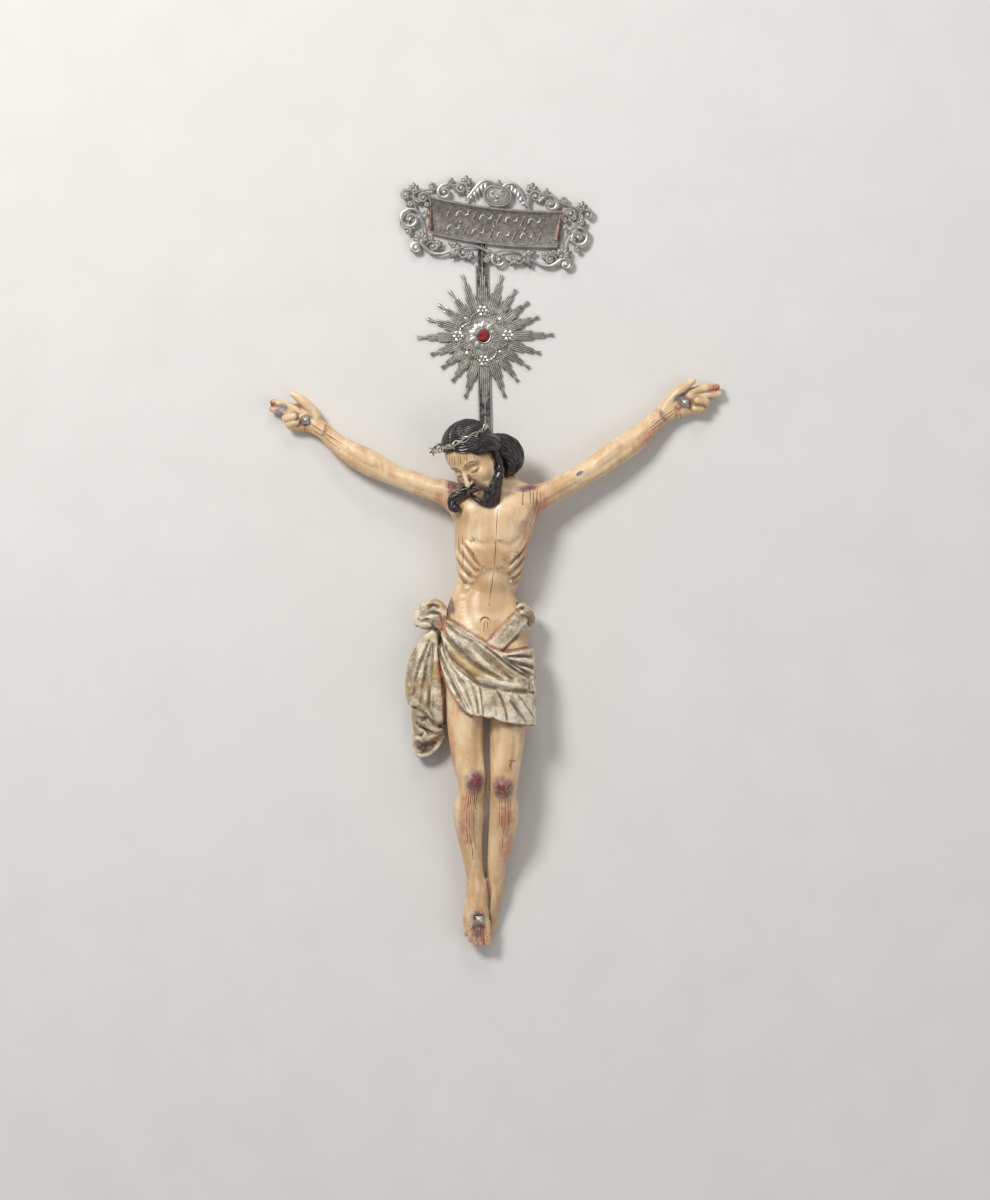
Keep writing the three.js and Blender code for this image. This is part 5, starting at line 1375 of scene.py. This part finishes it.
turns = np.arange(260) / 260
outwards = np.array([on_crown(t, 0.001) - on_crown(t) for t in turns])
for wire, plaits in enumerate(PLAITS):
    phase = 2 * math.pi * (plaits * turns + wire / 2) + 0.5 * np.sin(2 * math.pi * turns * 4 + wire)
    swell = 1 + 0.35 * np.sin(2 * math.pi * turns * 5 + 2 * wire)
    path = [
        on_crown(t, PLAIT_DEPTH * math.cos(2 * p) + 0.0001, PLAIT_WIDTH * s * math.sin(p))
        for t, p, s in zip(turns, phase, swell)
    ]
    crown.rod(path, WIRE_RADIUS * 1.15, WIRE_RADIUS * 0.9, 7, outwards, ends=False)
# Each thorn leans out of the wires: its place along the ring and out of it, and its rise.
THORN_BEND = ((-1, 0.0002, -0.3), (0, 0.0006, 0.25), (0.5, 0.0013, 0.65), (0.7, 0.0019, 1))
THORNS = [(-0.06, -1), (0.075, -1), (0.005, 1), (-0.14, 1), (0.15, 1), (0.21, -1)]
THORNS += [(turn, chance.choice([-1, 1])) for turn in np.linspace(0.29, 0.72, 9)]
for turn, hand in THORNS:
    lean = hand * chance.uniform(0.0024, 0.0034)
    bend = chance.uniform(0.012, 0.024)
    path = [on_crown(turn + bend * ahead, out, lean * rise) for ahead, out, rise in THORN_BEND]
    up = on_crown(turn, 0.001) - on_crown(turn)
    crown.rod(smooth(path, 4), WIRE_RADIUS * np.linspace(1.1, 0.16, 13), None, 7, up)
for out, up in ((0.0026, -0.0003), (0.0009, -0.0032), (0.0004, 0.0030)):
    start, end = on_crown(KNOT_TURN, 0.0002), on_crown(KNOT_TURN - 0.006, out, up)
    aim = (0, 0, 1) if abs((end - start)[2]) < 0.002 else (0, 1, 0)
    path = smooth([start, (start + end) / 2, end], 4)
    crown.rod(path, WIRE_RADIUS * np.linspace(2.2, 0.3, 9), None, 7, aim, tone=COPPER)
crown.bead(on_crown(KNOT_TURN), KNOT_RADIUS, KNOT_RADIUS, tone=COPPER)
crown_silver = silver("Thorn silver", paint(228, 220, 202), paint(110, 98, 80), 0.3, -1, 0)
crown.piece("crown_wires", "crown_of_thorns", crown_silver)

# Nails
# Forged nails with a square shank and a head beaten to a low pyramid, driven through the
# palms and the crossed feet. The hammer has left small flats on the heads.
HEAD_CORNERS = [(1, -0.8), (1, 0.8), (0.8, 1), (-0.8, 1), (-1, 0.8), (-1, -0.8), (-0.8, -1), (0.8, -1)]
# Shape of the head from its rim up: share of its half width, and share of its height.
HEAD_SHAPE = ((0.96, 0.0), (1.0, 0.06), (0.99, 0.3), (0.8, 0.52), (0.45, 0.82), (0.2, 0.97), (0.06, 1.0))
nail_silver = silver("Nail silver", paint(206, 200, 190), paint(80, 70, 60), 0.34, -1, 0)
for node in NAIL_PLACES:
    low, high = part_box(node)
    half = (high.x - low.x) / 2
    middle = ((low.x + high.x) / 2, (low.y + high.y) / 2)
    nail = Shell()
    rings = []
    for share, rise in HEAD_SHAPE:
        wobble = chance.uniform(-0.05, 0.0, (len(HEAD_CORNERS), 3)) * half
        level = high.z - NAIL_HEAD * (1 - rise)
        ring = [(middle[0] + x * half * share, middle[1] + y * half * share, level) for x, y in HEAD_CORNERS]
        rings.append(np.array(ring) + wobble * (1, 1, 0.4 if 0 < rise < 1 else 0))
    nail.loft(rings)
    shank = [(NAIL_SHANK * 0.8, low.z), (NAIL_SHANK, low.z + 0.0004), (NAIL_SHANK, high.z - 0.002)]
    nail.turned((*middle, 0), shank, 12)
    nail.piece(node + "_forged", node, nail_silver, crease=24)

# Halo
# A cast silver sunburst of twenty reeded rays on a flat engraved stem: a flower of pointed
# petals round the stone, four rosettes with beaded garlands between, and forked tips.
halo_place = Matrix.Translation((*to_metres((*HALO_MIDDLE, 0))[:2], 0)) @ Matrix.Rotation(STEM_LEAN, 4, "Z")
RAY_LENGTHS = [71, 64.3, 57.7, 56.9, 59.5, 71.4, 60.2, 56.3, 57.8, 65.3, 80, 65.3, 55.9, 53.3, 56.8, 67.3,
               58.6, 55.5, 56.9, 65.3]
REED = 0.00118
REED_SHARES = [1.0, 0.86, 0.7]
HALO_BASE = 0.00075
FLOWER_REACH = 0.0092
ROSETTE_REACH = 0.0150
RIM_BEADS, PETALS, ROSETTES, CLAWS = 64, 10, 4, 14
# Width and height of a reed at five places along it, as shares.
REED_WIDTHS = np.array([0.56, 0.54, 0.52, 0.4, 0.1])
REED_HEIGHTS = np.array([1, 1, 0.95, 0.7, 0.2])
# Middle plate, as radius and height from the underside to the flower.
PLATE_PROFILE = [
    (0.0002, HALO_BASE), (0.0182, HALO_BASE), (0.0186, 0.0012), (0.018, 0.0017), (0.0172, 0.0018),
    (0.0166, 0.0015), (0.010, 0.0017), (0.0062, 0.0022), (0.0002, 0.0022),
]
# Garland from a rosette: share of a turn, reach and height.
GARLAND = [
    (0.03, ROSETTE_REACH, 0.0020), (0.07, 0.0141, 0.0021), (0.105, 0.0124, 0.0021), (0.122, 0.0106, 0.0021),
]
halo = Shell()


def polar(angle, reach, height, aside=0.0):
    """A point of the sunburst, with the angle clockwise from the top in turns."""
    c, s = math.cos(2 * math.pi * angle), math.sin(2 * math.pi * angle)
    return np.array([reach * s + aside * c, reach * c - aside * s, height])


for i, length in enumerate(RAY_LENGTHS):
    turn = i / len(RAY_LENGTHS)
    for k in range(-2, 3):
        reach = length * STEP * REED_SHARES[abs(k)] * chance.uniform(0.98, 1.02)
        tall = 0.00062 + 0.00016 * (2 - abs(k))
        stops = [0.009, reach - 0.0034, reach - 0.0018, reach - 0.0007, reach]
        path = [polar(turn, r, HALO_BASE + 0.0006, k * REED * (1 if r < 0.012 or k == 0 else 0.98))
                for r in stops]
        halo.rod(path, REED * REED_WIDTHS, tall * REED_HEIGHTS, 8)
    tip = length * STEP
    for lean in (-1, 1):
        start = polar(turn, tip - 0.0044, HALO_BASE + 0.0007)
        end = polar(turn, tip + 0.0005, HALO_BASE + 0.0008, lean * 0.0011)
        halo.blade(start, end, 0.0004, 0.0006)
halo.turned((0, 0, 0), PLATE_PROFILE, RIM_BEADS, tone=0.75)
for i in range(RIM_BEADS):
    halo.bead(polar((i + 0.5) / RIM_BEADS, 0.0176, 0.0019), 0.00052, 0.0005, 7)
for reach, wide, height, first in ((0.0082, 0.0017, 0.0023, 0.5), (FLOWER_REACH, 0.0021, 0.0027, 0)):
    for i in range(PETALS):
        turn = (i + first) / PETALS
        start, end = polar(turn, 0.0034, height), polar(turn, reach, height - 0.0002)
        halo.blade(start, end, wide, 0.0007, 6, fullness=0.75)
        vein = ((0.0042, 0.0006), (reach * 0.6, 0.0007), (reach * 0.92, 0.0001))
        halo.rod([polar(turn, r, height + up) for r, up in vein], 0.00022, 0.0003, 6)
for i in range(ROSETTES):
    turn = i / ROSETTES
    middle = polar(turn, ROSETTE_REACH, 0)
    for k in range(6):
        angle = k * math.pi / 3
        aim = np.array([math.cos(angle), math.sin(angle), 0])
        start, end = middle + aim * 0.0008 + (0, 0, 0.0024), middle + aim * 0.0041 + (0, 0, 0.0023)
        halo.blade(start, end, 0.0012, 0.0008, 6, fullness=0.9)
    halo.bead(middle + (0, 0, 0.0030), 0.0011, 0.0009)
    # Garlands to both sides: a bowed rod with beads on it and a curl, and a leaf between two.
    for hand in (-1, 1):
        path = smooth([polar(turn + hand * aside, reach, height) for aside, reach, height in GARLAND], 5)
        halo.rod(path, 0.00042, 0.0006, 7)
        for p in path[1::3]:
            halo.bead(p + (0, 0, 0.0006), 0.00062, 0.0006, 8)
        eye = polar(turn + hand * 0.085, 0.0146, 0.0021)
        winding = zip(np.linspace(0, 8.5, 14) * hand, 0.0015 * np.linspace(1, 0.25, 14))
        curl = [eye + reach * np.array([math.cos(a), math.sin(a), 0]) for a, reach in winding]
        halo.rod(curl, np.linspace(0.0004, 0.0003, 14), 0.0006, 6)
    halo.blade(polar(turn + 0.125, 0.0128, 0.0021), polar(turn + 0.125, 0.0165, 0.0020), 0.0011, 0.0007, 6)
STONE_RADIUS = 0.0037
# Collet round the stone: distance from the stone and height, with claws.
COLLET_PROFILE = [(0.00025, 0.0021), (0.00105, 0.0021), (0.001, 0.0036), (0.0006, 0.0043), (0.0002, 0.0042)]
halo.turned((0, 0, 0), [(STONE_RADIUS + r, z) for r, z in COLLET_PROFILE], 40, ends=False)
for i in range(CLAWS):
    turn = i / CLAWS
    start, end = polar(turn, STONE_RADIUS + 0.0008, 0.0030), polar(turn, STONE_RADIUS + 0.0006, 0.0046)
    halo.blade(start, end, 0.0005, 0.0003, 6)
# The stem is a flat strip with a strong reed in the middle, a thin one along each edge and a
# little engraved scroll between them. It is narrower above the rays.
STEM_TOP = (737 - HALO_MIDDLE[1]) * STEP
STEM_FOOT = (STEM_LINE - HALO_MIDDLE[1]) * STEP - STEM_RUN
# Half width, height, start and end of both parts.
for half, top, first, last in (
    (STEM_HALF, 0.0011, STEM_FOOT, 0.0410), (0.0027, 0.00104, 0.0404, STEM_TOP),
):
    strip = [[(-half, y, top), (half, y, top), (half, y, 0), (-half, y, 0)]
             for y in np.linspace(first, last, 12)]
    halo.loft(strip, tone=1.4)
    for x, wide in ((-0.88, 0.1), (0, 0.16), (0.88, 0.1)):
        reed = [(x * half, y, 0.0012) for y in np.linspace(first, last + 0.0006, 24)]
        halo.rod(reed, wide * half, 0.00055, 8, tone=1.4)
    for hand in (-1, 1):
        steps = np.arange(first + 0.002, last - 0.001, 0.0009)
        wavy = [(hand * half * (0.48 + 0.16 * math.sin(y * 1100)), y, 0.0011) for y in steps]
        halo.rod(wavy, 0.0002, 0.00035, 6, tone=1.4)
        if half == STEM_HALF:
            start = (hand * half * 0.8, last - 0.001, 0.0012)
            end = (hand * half * 0.95, last + 0.0022, 0.0012)
            halo.blade(start, end, 0.0006, 0.0005, tone=1.4)
halo_silver = silver("Halo silver", paint(204, 202, 196), paint(60, 56, 52), 0.32, 0.0007, 0.0026)
halo.piece("halo_cast", "halo", halo_silver, halo_place)

# Halo stone
# A ruby-red glass stone, cut with ten sides under a flat table, with foil behind it. A faint
# painted glow stands in for the light that the foil throws back.
STONE_SIDES = 10
low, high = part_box("halo_stone")
stone = Shell()
rise = high.z - low.z
profile = [(0.5, 0.0), (0.84, 0.02), (1.0, 0.42), (0.98, 0.5), (0.8, 0.8), (0.55, 1.0)]
rings = []
for k, (share, up) in enumerate(profile):
    turn = np.arange(STONE_SIDES * 2) * math.pi / STONE_SIDES
    bow = 1 - 0.05 * (np.arange(STONE_SIDES * 2) % 2 == (k > 3))
    reach = STONE_RADIUS * share * bow
    rings.append(np.stack([reach * np.cos(turn), reach * np.sin(turn), low.z + rise * up + 0 * turn], 1))
stone.loft(rings)
stone_place = Matrix.Translation(((low.x + high.x) / 2, (low.y + high.y) / 2, 0))
material, shader, place = coating("Ruby glass")
inside = place.node("TexVoronoi", {"Vector": place, "Scale": 0.35}, "Distance")
feed(place.tree, shader, {
    "Base Color": (inside * 1.3).blend(paint(196, 16, 44), paint(70, 2, 16)),
    "Roughness": 0.06 + place.noise(1.5, 3).over(0.6, 0.1) * 0.12,
    "Specular IOR Level": 0.8,
    "Coat Weight": 1.0,
    "Coat Roughness": 0.03,
    # Painted glow: the stone gives off a faint red light of its own, standing in for light thrown back by its
    # foil.
    "Emission Color": inside.over(0.45, 0.3).blend(paint(90, 0, 16), paint(20, 0, 4)),
    "Emission Strength": 0.25,
})
stone.piece("halo_stone_cut", "halo_stone", material, stone_place, crease=8)

# Title plate
# Cast and chased silver: a bowed panel, hatched all over, with two rows of shallow strokes
# between beads, in an open frame of vine scrolls, leaves and volutes with a crest.
TITLE_STEP = 0.080 / 132
TITLE_MIDDLE = (9, 729)
TITLE_LIFT = 0.00325
TITLE_LEAN = math.radians(-6.3)
title_place = Matrix.Translation((*to_metres((*TITLE_MIDDLE, 0))[:2], TITLE_LIFT))
title_place = title_place @ Matrix.Rotation(TITLE_LEAN, 4, "Z") @ Matrix.Scale(TITLE_STEP, 4)
PANEL_HALF, PANEL_RISE, PANEL_SAG = 66.0, 17.8, 4.3
title = Shell()


def panel_edge(x, side):
    """Height of the panel's upper (1) or lower (-1) edge over its middle line."""
    return side * PANEL_RISE - PANEL_SAG * (1 - (x / PANEL_HALF) ** 2)


STEM_STRENGTH = 1.2
LOBE_BREADTH = 1.35


def scroll(side, points, eye=None, hand=-1, turns=1.2, thick=1.4):
    """A stem on one side of the plate, which may wind into a volute with a bead in its eye."""
    path = smooth([(x, y, 0.3) for x, y in points], 5)
    thick = thick * STEM_STRENGTH
    swell = np.linspace(0.55, 1, len(path))
    if eye:
        across, along = np.subtract(points[-1], eye)
        t = np.linspace(0, 1, int(15 * turns) + 3)[1:]
        angle = math.atan2(along, across) + hand * 2 * math.pi * turns * t
        reach = math.hypot(across, along) * (1 - 0.8 * t)
        wound = np.stack([eye[0] + reach * np.cos(angle), eye[1] + reach * np.sin(angle), 0.3 + 0.8 * t], 1)
        path, swell = np.vstack([path, wound]), np.concatenate([swell, 1 - 0.45 * t])
        title.bead((side * eye[0], eye[1], 1.1), thick * 1.1, 1.5)
    else:
        swell = swell * np.linspace(1, 0.6, len(path))
    title.rod(path * (side, 1, 1), thick * swell, 0.9 + 0.5 * swell, 8)


def leaf(side, x, y, size, degrees, lobes=5, spread=130, slim=0.2, tone=0.5):
    """A fan of rounded, ridged lobes from one point."""
    root = np.array([x, y, 0.5])
    for share in np.linspace(-0.5, 0.5, lobes):
        angle = math.radians(degrees + spread * share)
        aim = np.array([math.cos(angle), math.sin(angle), 0]) * size * (1 - 0.7 * abs(share))
        start, tip = (root - aim * 0.15) * (side, 1, 1), (root + aim) * (side, 1, 1)
        title.blade(start, tip, size * slim * LOBE_BREADTH, 1.2, 8, tone, fullness=1.35)
    title.bead((side * x, y, 0.5), size * 0.32, 1.1, 10, tone)


# Section of the panel: its upper (1) or lower (-1) edge, the distance from it, and the height.
PANEL_SECTION = ((-1, 0, -1.15), (1, 0, -1.15), (1, 0, 0.7), (1, -1.2, 0.8),
                 (1, -2, 0.3), (-1, 1.4, 0.3), (-1, 0.7, 0.6), (-1, 0, 0.5))
PANEL_NARROWING = 0.97
xs = np.linspace(-PANEL_HALF, PANEL_HALF, 41)
title.loft([
    [(x * (PANEL_NARROWING if e < 0 else 1), panel_edge(x, e) + n, z) for e, n, z in PANEL_SECTION]
    for x in xs
], tone=0.8)
title.rod([(x, panel_edge(x, 1) + 0.2, 1.3) for x in xs], 1.35, 1.3, 8, tone=1.45)
# Hatching, and a strip at each end.
for share in np.linspace(-0.9, 0.86, 24):
    hatch = [(x * PANEL_NARROWING, panel_edge(x, 0) + share * PANEL_RISE, 0.28) for x in xs[::2]]
    title.rod(hatch, 0.34, 0.22, 4, tone=0.95)
for x, y, slope in ((-66, -14.2, 0.02), (59.6, -10.9, 0.06)):
    ends = ((0, 0, 7), (31, 0.2 if x < 0 else 4.6, 0.5))
    title.loft([
        [(x + aside, y + rise + aside * slope, 0.2),
         (x + aside + wide * 0.5, y + rise, 0.45 + wide * 0.16),
         (x + aside + wide, y + rise, 0.2)]
        for rise, aside, wide in ends
    ], tone=COPPER)
for x in (-34, -0.6, 30.2):
    title.bead((x, panel_edge(x, 0), 0.5), 1.6, 1.4, tone=1.3)
# Shallow strokes in two rows, none of them a letter: slanting wedges and waves by turns.
STROKES_EACH_ROW = 8
WAVE = [(-6, -2.2), (-5.2, 1.2), (-2.4, 2.2), (1.8, -0.8), (4.6, 0.2), (5.4, 2.8)]
WEDGE = [(-2, -6.4, 0.2), (-0.8, -2.4, 0.35), (1, 2.4, 0.3), (2, 6.2, 0.2)]
for row, level in enumerate((7.6, -7.6)):
    for k in range(STROKES_EACH_ROW):
        x = -49 + 98 * (k + 0.25 + 0.5 * row) / STROKES_EACH_ROW + chance.uniform(-1, 1)
        y = level + panel_edge(x, 0) + 0.4
        if (k + row) % 2:
            path = smooth([(x + aside, y + rise, 0.4) for aside, rise in WAVE], 4)
            title.rod(path, 0.85, 0.8, 6, tone=1.3)
            for end in (path[0], path[-1]):
                title.bead(end, 1.35, 1.1, tone=1.3)
        else:
            path = [(x + aside, y + rise, z) for aside, rise, z in WEDGE]
            title.rod(path, (0.3, 1.15, 0.9, 0.2), 0.55, 6, tone=COPPER)
for side in (-1, 1):
    # Crest: a thick scroll with teeth hanging under it, and a pleated rosette with a leaf on top.
    scroll(side, [(3.5, 36), (7, 39), (12.5, 40.5), (18, 38.5), (22.6, 32.6), (26, 27.4), (31, 19.4)],
           thick=2.3)
    for bx, by, tx, ty in ((13, 39, 13.6, 30.5), (17, 37, 17, 28.5), (20.5, 34, 20, 25.5),
                           (23.5, 30, 22.6, 22), (27, 25, 25.4, 19.6)):
        title.blade((side * bx, by, 0.3), (side * tx, ty, 0.2), 1.7, 1.1, 6, fullness=1.2)
    scroll(side, [(31.5, 18), (30.6, 23), (31, 29), (32.6, 33.6)], (37.2, 30.2), turns=1.4, thick=1.5)
    leaf(side, 32.6, 35.4, 8.6, 84, 5, 170, 0.22)
    for k in range(4):
        title.blade((side * 31.6, 24 + 3 * k, 0.3), (side * 27.6, 26 + 3.1 * k, 0.2), 1.2, 0.9, 6,
                    fullness=1.2)
        title.blade((side * 40, 25.4, 0.5), (side * (43.4 + k * 1.6), 25.6 + k * 2.4, 0.4), 1.3, 1.1, 6)
    scroll(side, [(39.6, 35), (44.6, 32.6), (50, 33), (56, 31.4), (59.4, 27)], (53.2, 24.4), turns=1.25,
           thick=1.7)
    leaf(side, 47.6, 34, 6, 92, 3, 110, 0.26)
    # Bar to the corner, with a curl on it, a fleur, a corner volute and a leafy inner spiral.
    scroll(side, [(55, 31.6), (61, 27.6), (68, 25.2), (77, 23.4), (83.5, 20)], thick=1.5)
    scroll(side, [(61, 26.4), (62.4, 29), (64.6, 31.6)], (66.2, 28.8), turns=1.0, thick=1.2)
    leaf(side, 84, 22.6, 8.6, 84, 5, 160, 0.2)
    scroll(side, [(83, 18), (86, 22), (91, 22.4)], (91.4, 17.6), turns=1.15, thick=1.5)
    scroll(side, [(65.6, 10), (66.6, 15), (69, 20), (73, 22)], (73.6, 16.8), turns=1.3, thick=1.3)
    leaf(side, 68, 9.6, 5.4, 20, 4, 120, 0.26)
    leaf(side, 77.6, 14, 5.4, -60, 4, 140, 0.26)
    leaf(side, 84, 9, 7, -4, 4, 100, 0.26)
    # Side: a vine down to the lower corner, and the big spiral with a leafy heart.
    scroll(side, [(84, 21), (82.4, 12), (80.4, 6), (76, 0.4), (72.6, -6), (70.4, -13), (70.6, -22)],
           thick=1.6)
    scroll(side, [(73.6, -2), (71.6, 2.2), (68.6, 3.6)], (68.4, 1.6), turns=0.7, thick=1.1)
    scroll(side, [(76.6, 1.4), (80.6, 3.8), (87, 3.6), (92.4, -0.4)], (84.2, -5.6), turns=1.3, thick=1.8)
    leaf(side, 81, -8.6, 6.4, 196, 5, 150, 0.24)
    leaf(side, 86.4, -6.4, 4.4, 60, 4, 200, 0.28)
    scroll(side, [(93.6, -5), (92.6, -11.4), (88.4, -15.4)], (85.4, -18.4), hand=1, turns=0.9, thick=1.4)
    # Lower corner: a shell of lobes, a volute, and the strong vine along the bottom.
    leaf(side, 70, -26.6, 12, 62, 7, 170, 0.17)
    scroll(side, [(36, -31), (42, -33.6), (49.4, -37), (58.6, -37.4), (65.4, -33.6), (70, -29.4), (76, -29)],
           (75, -34), turns=1.3, thick=2.1)
    scroll(side, [(66, -30), (62, -26), (57, -26.4)], (58.6, -30.4), hand=1, turns=1.1, thick=1.5)
    leaf(side, 56, -29, 7.6, 150, 5, 150, 0.24)
    leaf(side, 62, -24.6, 5.4, 100, 4, 130, 0.26)
    scroll(side, [(3, -30.6), (8, -28), (17, -25.8), (27, -27), (37, -31.4)], thick=1.9)
    leaf(side, 34, -28, 11, 18, 3, 44, 0.17)
    leaf(side, 33.4, -29.6, 13.4, -58, 5, 62, 0.13)
    leaf(side, 22.6, -33.6, 8.4, -104, 5, 150, 0.24)
    scroll(side, [(33, -29), (32.4, -34), (29, -38), (25.4, -37)], (27.6, -33.6), turns=0.9, thick=1.5)
scroll(1, [(-8, -28), (-2, -28.6), (2.4, -31.4)], (8.4, -36.2), hand=1, turns=1.35, thick=1.7)
scroll(1, [(2.4, -31.4), (-3, -33), (-6.4, -37.4)], (-3.6, -37.4), hand=1, turns=0.9, thick=1.3)
# The crest is a rounded field in a double border, with two curls, a bead and a drop.
CREST_X, CREST_Y = -0.5, 27.0
CREST_HALF, CREST_RISE, CREST_DIP = 13.6, 10.4, 2.2
lobe = np.linspace(0, 2 * math.pi, 41)[:-1]
dip = CREST_DIP * np.exp(-((np.sin(lobe / 2) / 0.16) ** 2))
bow = np.stack([CREST_HALF * np.sin(lobe), CREST_RISE * np.cos(lobe) - dip], 1)
title.loft([
    [(CREST_X + x * f, CREST_Y + y * f, z) for x, y in bow]
    for f, z in ((0.98, -0.9), (1.0, 0.5), (0.86, 0.5), (0.6, 1.0), (0.3, 1.3), (0.05, 1.4))
], tone=0.85)
for share, thick in ((1.0, 1.2), (0.82, 0.6)):
    title.rod([(CREST_X + x * share, CREST_Y + y * share, 0.8) for x, y in bow], thick, thick, 8, ends=False)
for side in (-1, 1):
    scroll(1, [(CREST_X + side * 2.4, 22.4), (CREST_X + side * 7.6, 24.6), (CREST_X + side * 9, 28.6)],
           (CREST_X + side * 5.4, 29.6), side, 1.1, 0.9)
title.bead((CREST_X, 25.6, 1.3), 2.3, 2.0, 12, tone=1.4)
for lean in (-2.6, 0, 2.6):
    title.blade((CREST_X, 23, 1.0), (CREST_X + lean, 18.6 + abs(lean) * 0.3, 0.8), 1.1, 0.9, 6)
leaf(1, CREST_X, 36.6, 6.4, 90, 3, 90, 0.24)
title_silver = silver("Title silver", paint(190, 185, 180), paint(70, 62, 58), 0.36,
                      TITLE_LIFT - 0.0006, TITLE_LIFT + 0.0011)
title.piece("title_chased", "title_plate", title_silver, title_place)

# Floor, light and camera
# A pale matt sheet under soft daylight from the upper left, seen from straight above, as the
# photograph sees the figure.
material, shader, place = coating("Pale sheet")
feed(place.tree, shader, {
    "Base Color": place.noise(60, 4).blend(paint(222, 219, 213), paint(212, 209, 203)),
    "Roughness": 0.85,
    "Normal": place.node("Bump", {"Strength": 0.15, "Distance": 0.0003, "Height": place.noise(2.5, 4, 0.7)}),
})
scene = bpy.context.scene
floor_mesh = bpy.data.meshes.new("Floor")
floor_mesh.from_pydata([(-3, -3, 0), (3, -3, 0), (3, 3, 0), (-3, 3, 0)], [], [(0, 1, 2, 3)])
floor_mesh.materials.append(material)
floor = bpy.data.objects.new("Floor", floor_mesh)
scene.collection.objects.link(floor)
floor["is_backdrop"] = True
# Each lamp: its name, place, width and power.
LAMPS = [
    ("Key", (-0.85, 0.95, 1.35), 0.5, 26), ("Fill", (1.3, -0.5, 1.4), 1.4, 7),
    ("Glint", (0.1, 1.5, 1.0), 0.5, 5),
]
for name, spot, size, power in LAMPS:
    lamp = bpy.data.lights.new(name, "AREA")
    lamp.size, lamp.energy = size, power
    holder = bpy.data.objects.new(name, lamp)
    scene.collection.objects.link(holder)
    holder.location = spot
    holder.rotation_euler = (-holder.location).to_track_quat("-Z", "Y").to_euler()
world = bpy.data.worlds.new("Studio")
scene.world = world
world.use_nodes = True
world.node_tree.nodes["Background"].inputs["Color"].default_value = (0.3, 0.31, 0.33, 1)
scene.view_settings.view_transform = "Standard"
camera_data = bpy.data.cameras.new("Camera")
camera_data.lens = 150
camera_data.sensor_width = 36
camera = bpy.data.objects.new("Camera", camera_data)
scene.collection.objects.link(camera)
PHOTO_MIDDLE, CAMERA_HEIGHT = (-0.0005, -0.0225), 3.02
camera.location = (*PHOTO_MIDDLE, CAMERA_HEIGHT)
scene.camera = camera
low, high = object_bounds()
